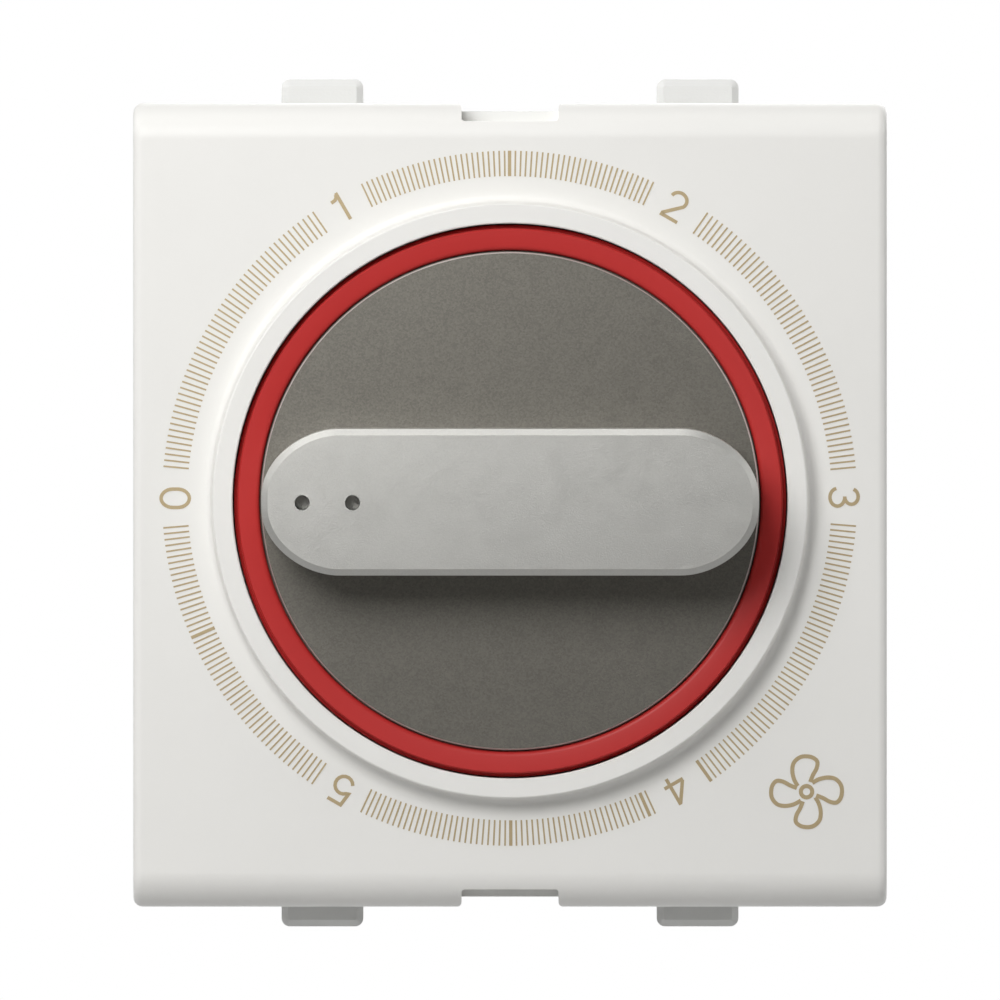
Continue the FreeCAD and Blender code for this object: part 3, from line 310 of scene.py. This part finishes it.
# pieces, drawn in mm and scaled to metres when they are finished
def finishPiece(name, bm, slotName, body, *nodes, material=None):
    bmesh.ops.scale(bm, vec=(mm, mm, mm), verts=bm.verts)
    mesh = bpy.data.meshes.new(name)
    bm.to_mesh(mesh)
    bm.free()
    mesh.materials.append(material or finishes[slotName])
    mesh.shade_smooth()
    mesh.set_sharp_from_angle(angle=math.radians(crispAngle))
    piece = bpy.data.objects.new(name, mesh)
    scene.collection.objects.link(piece)
    weighted = piece.modifiers.new("weightedNormals", "WEIGHTED_NORMAL")
    weighted.keep_sharp = True
    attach(piece, body)
    if nodes:
        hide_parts(*nodes)
    print("piece:", name, len(mesh.polygons), "faces")


def spinRound(profile):
    # turn a closed outline of (radius, level) round the knob's axis
    bm = bmesh.new()
    corners = [bm.verts.new((radius, -height, knobUp)) for radius, height in profile]
    sides = [bm.edges.new(pair) for pair in zip(corners, corners[1:] + corners[:1])]
    bmesh.ops.spin(bm, geom=corners + sides, cent=(0, 0, knobUp), axis=(0, 1, 0), angle=math.tau,
                   steps=roundSteps, use_merge=True)
    bmesh.ops.recalc_face_normals(bm, faces=bm.faces)
    return bm


def roundEdges(bm, wanted, size, segments):
    # wanted gets the two ends of an edge; edges inside a flat face stay
    flat = 0.1  # radians between two faces
    chosen = [edge for edge in bm.edges
              if edge.calc_face_angle(0) > flat and wanted(edge.verts[0].co, edge.verts[1].co)]
    bmesh.ops.bevel(bm, geom=chosen, affect="EDGES", offset=size, offset_type="OFFSET", segments=segments,
                    profile=0.5, material=-1)


def roundRing(bm, radius, height, size, segments):
    def onRing(corner):
        return same(math.hypot(corner.x, corner.z - knobUp), radius) and same(-corner.y, height)
    roundEdges(bm, lambda start, stop: onRing(start) and onRing(stop), size, segments)


def block(left, right, bottom, top, back, front):
    # a box between two levels
    bm = bmesh.new()
    middle = Vector((left + right, -back - front, bottom + top)) / 2
    bmesh.ops.create_cube(bm, size=1.0, matrix=Matrix.Translation(middle)
                          @ Matrix.Diagonal((right - left, front - back, top - bottom, 1)))
    return bm


def prism(outline, back, front):
    # a flat outline of (x, z) drawn out from one level to another
    bm = bmesh.new()
    face = bm.faces.new([bm.verts.new((x, -back, z)) for x, z in outline])
    drawn = bmesh.ops.extrude_face_region(bm, geom=[face])["geom"]
    corners = [part for part in drawn if isinstance(part, bmesh.types.BMVert)]
    bmesh.ops.translate(bm, vec=(0, back - front, 0), verts=corners)
    bmesh.ops.recalc_face_normals(bm, faces=bm.faces)
    return bm


def drum(radius, back, front, x, z, segments):
    # a cylinder along Y between two levels
    bm = bmesh.new()
    place = Matrix.Translation((x, -(back + front) / 2, z)) @ Matrix.Rotation(math.pi / 2, 4, "X")
    bmesh.ops.create_cone(bm, cap_ends=True, segments=segments, radius1=radius, radius2=radius,
                          depth=front - back, matrix=place)
    return bm


def finalMesh(thing):
    # the object's mesh after its modifiers or its bevel
    bpy.context.view_layer.update()
    return bpy.data.meshes.new_from_object(thing.evaluated_get(bpy.context.evaluated_depsgraph_get()))


def carve(bm, cutters):
    # take each cutter away from the bmesh
    things = []
    for solid in [bm, *cutters]:
        mesh = bpy.data.meshes.new("carving")
        solid.to_mesh(mesh)
        solid.free()
        thing = bpy.data.objects.new("carving", mesh)
        scene.collection.objects.link(thing)
        things.append(thing)
    for cutter in things[1:]:
        step = things[0].modifiers.new("cut", "BOOLEAN")
        step.operation, step.solver, step.object = "DIFFERENCE", "EXACT", cutter
    carved = bmesh.new()
    carved.from_mesh(finalMesh(things[0]))
    for thing in things:
        bpy.data.objects.remove(thing)
    print("carved:", len(cutters), "cutters leave", len(carved.faces), "faces")
    return carved


def joined(*parts):
    # several bmeshes as one
    bm = parts[0]
    for part in parts[1:]:
        mesh = bpy.data.meshes.new("part")
        part.to_mesh(mesh)
        part.free()
        bm.from_mesh(mesh)
        bpy.data.meshes.remove(mesh)
    return bm


# Front plate with its rolled edges, its collar and the well for the knob
plate = {"roll": 2.1, "rollSteps": 24, "sideRound": 0.55, "wall": 1.5, "back": 2.5, "frontWall": 1.8,
         "notchWidth": 5.8, "notchDepth": 1.07, "notchCorner": 0.18, "notchMouth": 0.28, "mouthOut": 0.003,
         "cornerSteps": 5, "collarRadius": 17.9, "draft": 0.17, "wellRadius": 16.56, "wellFloor": 5.0,
         "wellBack": 3.5, "holeRadius": 5.9, "foot": 0.36, "footSteps": 8, "footEdge": 18.8, "lip": 0.07,
         "hookWidth": 6.0, "hookInner": 19.2, "hookThick": 1.0, "hookEnd": 0.7, "barb": 0.9,
         "barbRoot": 0.3, "barbFront": 0.4}


def plateShell(p):
    halfWidth, halfHeight = plateWidth / 2, plateHeight / 2
    bm = block(-halfWidth, halfWidth, -halfHeight, halfHeight, p["back"], plateFace)
    roundEdges(bm, lambda start, stop: bothAt(start, stop, plateFace) and same(start.z, stop.z), p["roll"],
               p["rollSteps"])
    roundEdges(bm, lambda start, stop: same(abs(start.x), halfWidth) and same(start.x, stop.x)
               and not bothAt(start, stop, p["back"]), p["sideRound"], p["cornerSteps"])
    inner, front = p["back"] - cutOver, plateFace + cutOver
    wallX, wallZ = halfWidth - p["wall"], halfHeight - p["wall"]
    cutters = [block(-wallX, wallX, -wallZ, wallZ, inner, plateFace - p["frontWall"]),
               drum(p["footEdge"], inner, front, 0, knobUp, roundSteps)]
    # each notch is cut by a T, so that the corners at its mouth are rounded too
    half, notch, mouth = p["notchWidth"] / 2, halfHeight - p["notchDepth"], halfHeight + p["mouthOut"]
    far, top = half + cutOver, halfHeight + cutOver
    outline = [(-half, notch), (half, notch), (half, mouth), (far, mouth), (far, top), (-far, top),
               (-far, mouth), (-half, mouth)]
    for side in (-1, 1):
        cutter = prism([(x, side * z) for x, z in outline], inner, front)
        for height, size in ((notch, p["notchCorner"]), (mouth, p["notchMouth"])):
            roundEdges(cutter, lambda start, stop: same(abs(start.x), half) and same(start.x, stop.x)
                       and same(start.z, side * height) and same(stop.z, side * height),
                       size, p["cornerSteps"])
        cutters.append(cutter)
    return carve(bm, cutters)


def collarCup(p):
    # the collar with its foot in the plate, the well's wall and its floor round the hole for the hub
    outer, well, foot = p["collarRadius"], p["wellRadius"], p["footEdge"]
    top, innerFace = outer - p["draft"], plateFace - p["frontWall"]
    bm = spinRound([(p["holeRadius"], p["wellFloor"]), (well, p["wellFloor"]), (well, collarTop),
                    (top, collarTop), (outer, plateFace), (foot, plateFace), (foot, innerFace),
                    (outer, innerFace), (outer, p["wellBack"]), (p["holeRadius"], p["wellBack"])])
    roundRing(bm, outer, plateFace, p["foot"], p["footSteps"])
    roundRing(bm, top, collarTop, p["lip"], 1)
    roundRing(bm, well, collarTop, p["lip"], 1)
    return bm


def snapHook(p, side):
    # an arm with a barb that thins towards its end
    half, inner, tip = p["hookWidth"] / 2, side * p["hookInner"], side * (p["hookInner"] - p["barb"])
    first, last = sorted((inner, inner + side * p["hookThick"]))
    arm = block(-half, half, first, last, -p["hookEnd"], plateFace - p["frontWall"])
    low, high = sorted((tip, inner + side * p["barbRoot"]))
    barb = block(-half, half, low, high, -p["hookEnd"], p["barbFront"])
    for corner in barb.verts:
        if same(corner.co.y, p["hookEnd"]) and same(corner.co.z, tip):
            corner.co.z = inner
    return joined(arm, barb)


coverParts = [plateShell(plate), collarCup(plate), snapHook(plate, -1), snapHook(plate, 1)]
finishPiece("coverPlate", joined(*coverParts), "white_cover", "housing_body", "front_plate")

# Red ring of the knob
ring = {"width": 1.31, "seat": 7.3, "dish": 0.06, "edge": 0.08, "innerEdge": 0.3, "innerSteps": 5,
        "shoulder": 0.21, "step": 0.7, "slope": 0.12, "lean": 0.02}


def redRing(r):
    # the shoulder fills most of the gap to the well
    inner, outer = ringRadius - r["width"], ringRadius + r["shoulder"]
    innerFront, shoulder = knobFront - r["dish"], knobFront - r["step"]
    bm = spinRound([(inner, innerFront), (ringRadius, knobFront), (ringRadius + r["lean"], shoulder),
                    (outer, shoulder - r["slope"]), (outer, r["seat"]), (inner, r["seat"])])
    roundRing(bm, inner, innerFront, r["innerEdge"], r["innerSteps"])
    roundRing(bm, ringRadius, knobFront, r["edge"], 1)
    return bm


finishPiece("redRing", redRing(ring), "red_ring", "knob", "knob_ring")

# Lacquered cap of the knob disc, slightly domed, its middle under the bar, with a rim in the bright silver finish
# that paints a highlight along the disc's edge
cap = {"gap": 0.1, "rim": 0.07, "apart": 0.004, "proud": 0.06, "crown": 0.16, "rings": 8, "middle": 2.0,
       "back": 9.9}
capRadius = ringRadius - ring["width"] - cap["gap"]


def discCap(c):
    edge = capRadius - c["rim"] - c["apart"]
    spots = [edge + (c["middle"] - edge) * count / c["rings"] for count in range(c["rings"] + 1)]
    dome = [(radius, knobFront + c["proud"] + c["crown"] * (1 - (radius / edge) ** 2)) for radius in spots]
    return spinRound([(c["middle"], c["back"]), (edge, c["back"]), *dome])


# painted highlight: the rim is a ring of the bright silver finish so that the disc's edge shows a bright line
def rimHighlight(c):
    # its front slopes away to the gap beside the ring
    front, inner = knobFront + c["proud"], capRadius - c["rim"]
    slope = front - c["rim"]
    return spinRound([(inner, c["back"]), (capRadius, c["back"]), (capRadius, slope), (inner, front)])


finishPiece("discCap", discCap(cap), "dark_metallic", "knob")
# the silver finish on the rim is a painted highlight along the edge of the dark disc
finishPiece("rimHighlight", rimHighlight(cap), "silver_metallic", "knob")

# Grip bar with bowed ends and a slight crown
grip = {"corner": 4.0, "cornerSteps": 24, "edge": 0.38, "short": 0.08, "merge": 0.04, "squareOn": 0.999,
        "dimples": (-9.38, -12.38), "dimpleRadius": 0.45, "dimpleDepth": 2.4, "dimpleDrop": 0.03,
        "dimpleSteps": 48, "crownLong": 0.15, "crownAcross": 0.045, "cutsLong": 14, "cutsAcross": 6,
        "cutsEnd": 8}


def gripBlock(g):
    reach, half = gripBox[1].x / mm - g["short"], (gripBox[1].z - gripBox[0].z) / mm / 2
    top = level(gripBox[0].y)
    straight = math.sqrt(reach ** 2 - half ** 2)
    bm = block(-straight, straight, knobUp - half, knobUp + half, knobFront, top)
    roundEdges(bm, lambda start, stop: same(start.x, stop.x) and same(start.z, stop.z), g["corner"],
               g["cornerSteps"])
    ends = [face for face in bm.faces if abs(face.normal.x) > g["squareOn"]]
    across = {edge for face in ends for edge in face.edges if same(edge.verts[0].co.y, edge.verts[1].co.y)}
    bmesh.ops.subdivide_edges(bm, edges=list(across), cuts=g["cutsEnd"])
    for corner in bm.verts:
        if abs(corner.co.x) > straight - g["corner"] - near:
            # the ends bow out to the rim of the disc
            bow = math.sqrt(reach ** 2 - (corner.co.z - knobUp) ** 2) - straight
            corner.co.x += math.copysign(bow, corner.co.x)
    # cuts along and across give the crown its corners
    middle = Vector((0, 0, knobUp))
    for axis, size, cuts in (((1, 0, 0), straight, g["cutsLong"]), ((0, 0, 1), half, g["cutsAcross"])):
        for count in range(1, cuts):
            place = middle + Vector(axis) * size * (2 * count / cuts - 1)
            whole = bm.verts[:] + bm.edges[:] + bm.faces[:]
            bmesh.ops.bisect_plane(bm, geom=whole, plane_no=axis, plane_co=place)
    bmesh.ops.remove_doubles(bm, verts=bm.verts, dist=g["merge"])
    roundEdges(bm, lambda start, stop: bothAt(start, stop, top), g["edge"], 1)
    for corner in bm.verts:
        if same(-corner.co.y, top):
            corner.co.y += g["crownLong"] * (corner.co.x / reach) ** 2
            corner.co.y += g["crownAcross"] * ((corner.co.z - knobUp) / half) ** 2
    floor, dimpleUp = top - g["dimpleDepth"], knobUp - g["dimpleDrop"]
    cutters = [drum(g["dimpleRadius"], floor, top + cutOver, x, dimpleUp, g["dimpleSteps"])
               for x in g["dimples"]]
    return carve(bm, cutters)


finishPiece("gripBar", gripBlock(grip), "silver_metallic", "knob", "grip_bar")

# Print of the dial: ticks and figures
dial = {"thick": 0.02, "boldThick": 0.024, "middleX": -0.03, "middleZ": 0.43, "inner": 19.23, "outer": 20.75,
        "width": 0.1, "boldWidth": 0.2, "figureRadius": 19.96, "figureRise": 1.008, "stroke": 0.21,
        "firstTurn": 180, "turnStep": 60,
        "sectors": ((5.15, 55.25, 50), (65.55, 115.2, 56), (124.5, 174.7, 50), (184.9, 235.3, 52),
                    (244.65, 294.8, 54), (305.5, 355.4, 51)),
        "bold": (90.0, 203.68, 270.2, 293.85, 305.5)}


def dialTicks(d):
    bm = bmesh.new()
    length = d["outer"] - d["inner"]
    ticks = [(first + (last - first) * count / (total - 1), d["width"], d["thick"])
             for first, last, total in d["sectors"] for count in range(total)]
    ticks += [(turn, d["boldWidth"], d["boldThick"]) for turn in d["bold"]]
    home = Matrix.Translation((d["middleX"], -plateFace, d["middleZ"]))
    out = Matrix.Translation((d["inner"] + length / 2, 0, 0))
    for turn, width, thick in ticks:
        place = home @ Matrix.Rotation(-math.radians(turn), 4, "Y") @ out
        bmesh.ops.create_cube(bm, size=1.0, matrix=place @ Matrix.Diagonal((length, 2 * thick, width, 1)))
    return bm


def arc(middleX, middleY, radius, first, last, steps=14, tall=1.0):
    # tall stretches the circle upwards
    turns = [math.radians(first + (last - first) * count / steps) for count in range(steps + 1)]
    return [(middleX + radius * math.cos(turn), middleY + tall * radius * math.sin(turn)) for turn in turns]


# centre lines of the figures 0 to 5 from each figure's middle; the flag says whether a line closes
figures = (
    [(arc(0, 0.14, 0.55, 0, 180, tall=1.28) + arc(0, -0.14, 0.55, 180, 360, tall=1.28), True)],
    [([(0.05, 0.9), (0.05, -0.9)], False),
     ([(-0.48, 0.5), (-0.2, 0.53), (-0.06, 0.64), (-0.01, 0.8)], False)],
    [(arc(-0.08, 0.37, 0.5, 172, -28, tall=0.92) + [(-0.57, -0.72), (-0.57, -0.83), (0.5, -0.83)], False)],
    [(arc(-0.1, 0.45, 0.46, 162, -90, tall=0.88), False),
     (arc(-0.06, -0.39, 0.53, 95, -172, tall=0.84), False)],
    [([(0.22, 0.88), (0.22, -0.88)], False), ([(0.19, 0.8), (-0.6, -0.36)], False),
     ([(-0.66, -0.42), (0.6, -0.42)], False)],
    [([(0.56, 0.82), (-0.34, 0.82), (-0.44, 0.03)] + arc(0.07, -0.3, 0.53, 135, -155), False)],
)


def polyLine(curve, points, closed):
    line = curve.splines.new("POLY")
    line.points.add(len(points) - 1)
    line.use_cyclic_u = closed
    for point, (x, y) in zip(line.points, points):
        point.co = (x, y, 0, 1)


def stroke(points, closed, width, thick):
    # a ribbon along a flat centre line, as a bmesh in the X and Y plane
    section = bpy.data.curves.new("section", "CURVE")
    polyLine(section, [(x * width / 2, y * thick / 2) for x, y in ((-1, -1), (1, -1), (1, 1), (-1, 1))], True)
    curve = bpy.data.curves.new("lines", "CURVE")
    curve.bevel_mode = "OBJECT"
    curve.use_fill_caps = True
    polyLine(curve, points, closed)
    things = [bpy.data.objects.new(data.name, data) for data in (section, curve)]
    curve.bevel_object = things[0]
    for thing in things:
        scene.collection.objects.link(thing)
    bm = bmesh.new()
    bm.from_mesh(finalMesh(things[1]))
    for thing in things:
        bpy.data.objects.remove(thing)
    bmesh.ops.recalc_face_normals(bm, faces=bm.faces)
    return bm


thicker = 0.15  # each next line of a drawing by this share, so that lines that cross stay apart


def sign(lines, width, thick, x, z, turn, face=-plateFace):
    # lay a drawing on a face at this Y, its top turned away from +Z by this angle in degrees
    drawn = []
    side = math.copysign(1, face)
    upright = Matrix.Rotation(math.pi if side > 0 else 0, 4, "Z") @ Matrix.Rotation(math.pi / 2, 4, "X")
    turned = Matrix.Rotation(math.radians(turn), 4, "Y")
    for count, (points, closed) in enumerate(lines):
        height = thick * (1 + thicker * count)
        bm = stroke(points, closed, width, height)
        place = Matrix.Translation((x, face + side * height / 2, z))
        bmesh.ops.transform(bm, matrix=place @ turned @ upright, verts=bm.verts)
        drawn.append(bm)
    return joined(*drawn)


def dialFigures(d):
    drawn = []
    for number, lines in enumerate(figures):
        turn = math.radians(d["firstTurn"] - d["turnStep"] * number)
        x = d["middleX"] + d["figureRadius"] * math.cos(turn)
        z = d["middleZ"] + d["figureRadius"] * d["figureRise"] * math.sin(turn)
        drawn.append(sign(lines, d["stroke"], d["thick"], x, z, 90 - math.degrees(turn)))
    return joined(*drawn)


ink = printInk()
finishPiece("dialTicks", dialTicks(dial), "white_cover", "housing_body", material=ink)
finishPiece("dialFigures", dialFigures(dial), "white_cover", "housing_body", material=ink)

# Small fan with four open blades
fan = {"x": 17.7, "z": -17.09, "stroke": 0.245, "hub": 0.34, "hubSteps": 23, "thick": 0.02, "cuts": 5,
       "blade": ((-0.53, 0.34), (-0.76, 0.78), (-0.85, 1.3), (-0.74, 1.76), (-0.33, 2.08), (0.25, 2.08),
                 (0.63, 1.82), (0.6, 1.4), (0.38, 0.99), (0.22, 0.58))}


def throughPoints(points, cuts):
    # a smooth line that passes through each point
    ends = [points[0], *points, points[-1]]
    line = []
    for before, start, stop, after in zip(ends, ends[1:], ends[2:], ends[3:]):
        for count in range(cuts):
            t = count / cuts
            line.append(tuple(0.5 * (2 * b + (c - a) * t + (2 * a - 5 * b + 4 * c - d) * t ** 2
                                     + (3 * b - a - 3 * c + d) * t ** 3)
                              for a, b, c, d in zip(before, start, stop, after)))
    return line + [points[-1]]


def fanSign(f):
    blade = throughPoints(f["blade"], f["cuts"])
    lastTurn = 360 - 360 / (f["hubSteps"] + 1)
    lines = [(arc(0, 0, f["hub"], 0, lastTurn, f["hubSteps"]), True)]
    for quarter in range(4):
        turn = Matrix.Rotation(math.pi / 2 * quarter, 2)
        lines.append(([tuple(turn @ Vector(point)) for point in blade], False))
    return sign(lines, f["stroke"], f["thick"], f["x"], f["z"], 0)


finishPiece("fanSign", fanSign(fan), "white_cover", "housing_body", material=ink)

# Marks of the two clamps on the rear cover: L for the supply, an arrow for the way out to the load
marks = {"z": -10.2, "stroke": 0.3, "thick": 0.01,
         "line": [([(-0.6, 1.2), (-0.6, -1.2), (0.8, -1.2)], False)],
         "load": [([(-1.6, 0), (1.5, 0)], False), ([(0.7, 0.75), (1.65, 0), (0.7, -0.75)], False)]}


def clampMarks(m):
    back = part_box("rear_cover")[1].y / mm
    drawn = []
    for word in ("line", "load"):
        low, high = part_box(word + "_screw")
        drawn.append(sign(m[word], m["stroke"], m["thick"], (low.x + high.x) / 2 / mm, m["z"], 0, back))
    return joined(*drawn)


finishPiece("clampMarks", clampMarks(marks), "white_housing", "housing_body", material=markInk())


# stage, lamps and camera, in metres; only the stage's patches are in mm
stage = {"size": 3.0, "drop": 0.06, "colour": (0.5, 0.5, 0.5), "patch": 90.0, "patchShade": 0.99,
         "nearWhite": 0.9, "near": 0.08, "far": 0.4, "behind": 0.0}


def backdropRays(tree, place, limit):
    # 1 for rays from the camera, and for mirrored and refracted ones that go behind the object or beside it
    path, split = (tree.nodes.new("ShaderNode" + kind) for kind in ("LightPath", "SeparateXYZ"))
    tree.links.new(place, split.inputs[0])
    camera, mirrored, refracted = (Signal(tree, path.outputs[ray])
                                   for ray in ("Is Camera Ray", "Is Glossy Ray", "Is Transmission Ray"))
    behind = Signal(tree, split.outputs["Y"]) > limit
    return 1 - (1 - camera) * (1 - (1 - (1 - mirrored) * (1 - refracted)) * behind)


def setStage(s):
    # pale floor that keeps the shadow near the object and turns to plain white farther out
    finish = Finish("stageWhite", Roughness=0.9)
    patches = finish.noise(s["patch"])
    finish.set("Base Color", finish.blend(patches, shade(s["colour"], s["patchShade"]), s["colour"]))
    glow = finish.node("Emission", {}, {"Color": (1, 1, 1, 1), "Strength": 1.0})
    away = finish.node("VectorMath", {"operation": "LENGTH"}, {0: finish.place}, 1)
    white = finish.node("MapRange", {}, {"Value": away, "From Min": s["near"], "From Max": s["far"],
                                         "To Min": s["nearWhite"], "To Max": 1.0})
    seen = backdropRays(finish.tree, finish.place.socket, s["behind"])
    lit = Signal(finish.tree, finish.shader.outputs[0])
    mixed = finish.node("MixShader", {}, {0: seen * white, 1: lit, 2: glow})
    finish.tree.links.new(mixed.socket, finish.out.inputs["Surface"])
    bm = bmesh.new()
    bmesh.ops.create_grid(bm, x_segments=1, y_segments=1, size=s["size"],
                          matrix=Matrix.Translation((0, 0, cadBox[0][2] - s["drop"])))
    mesh = bpy.data.meshes.new("floor")
    bm.to_mesh(mesh)
    bm.free()
    mesh.materials.append(finish.material)
    floor = bpy.data.objects.new("floor", mesh)
    scene.collection.objects.link(floor)


# strength of the grey, and the least Y of a mirrored ray's direction that finds the white
room = {"grey": 0.14, "behind": -0.3}


def setWorld(r):
    # an even grey room whose backdrop is white: all round to the camera, behind the object to mirrored rays
    world = bpy.data.worlds.new("studio")
    scene.world = world
    world.use_nodes = True
    tree = world.node_tree
    backdrop = tree.nodes["Background"]
    backdrop.inputs["Color"].default_value = (1, 1, 1, 1)
    white = backdropRays(tree, tree.nodes.new("ShaderNodeTexCoord").outputs["Generated"], r["behind"])
    plug(tree, backdrop.inputs["Strength"], white * (1 - r["grey"]) + r["grey"])


def areaLamp(name, direction, distance, size, power):
    data = bpy.data.lights.new(name, "AREA")
    data.shape = "DISK"
    data.size = size
    data.energy = power
    lamp = bpy.data.objects.new(name, data)
    toLamp = Vector(direction).normalized()
    lamp.location = toLamp * distance
    lamp.rotation_euler = toLamp.to_track_quat("Z", "Y").to_euler()
    scene.collection.objects.link(lamp)


lamps = {"key": {"direction": (-0.33, -1.0, 0.47), "distance": 0.235, "size": 0.12, "power": 0.345},
         "top": {"direction": (-0.25, -0.45, 1.0), "distance": 0.3, "size": 0.25, "power": 0.21},
         "left": {"direction": (-1.0, -0.05, 0.4), "distance": 0.3, "size": 0.25, "power": 0.18},
         "right": {"direction": (1.0, -0.12, 0.35), "distance": 0.3, "size": 0.25, "power": 0.2},
         "back": {"direction": (0.35, 1.0, 0.5), "distance": 0.35, "size": 0.3, "power": 0.45}}
for name, lamp in lamps.items():
    areaLamp(name, **lamp)
setWorld(room)
setStage(stage)

# across and aim are in mm, across being the width that the picture shows at the plate
view = {"elevation": 0.75, "distance": 2.5, "across": 59.7, "aimX": -0.6, "aimZ": 0.327, "sensor": 36.0,
        "clip": (0.01, 20.0)}


def setCamera(v):
    data = bpy.data.cameras.new("camera")
    data.sensor_width = v["sensor"]
    data.lens = v["sensor"] * v["distance"] / (v["across"] * mm)
    data.clip_start, data.clip_end = v["clip"]
    camera = bpy.data.objects.new("camera", data)
    tilt = math.radians(v["elevation"])
    aim = Vector((v["aimX"] * mm, -plateFace * mm, v["aimZ"] * mm))
    camera.location = aim + Vector((0, -math.cos(tilt), math.sin(tilt))) * v["distance"]
    camera.rotation_euler = (math.pi / 2 - tilt, 0, 0)
    scene.collection.objects.link(camera)
    scene.camera = camera


setCamera(view)

print("pieces ready")
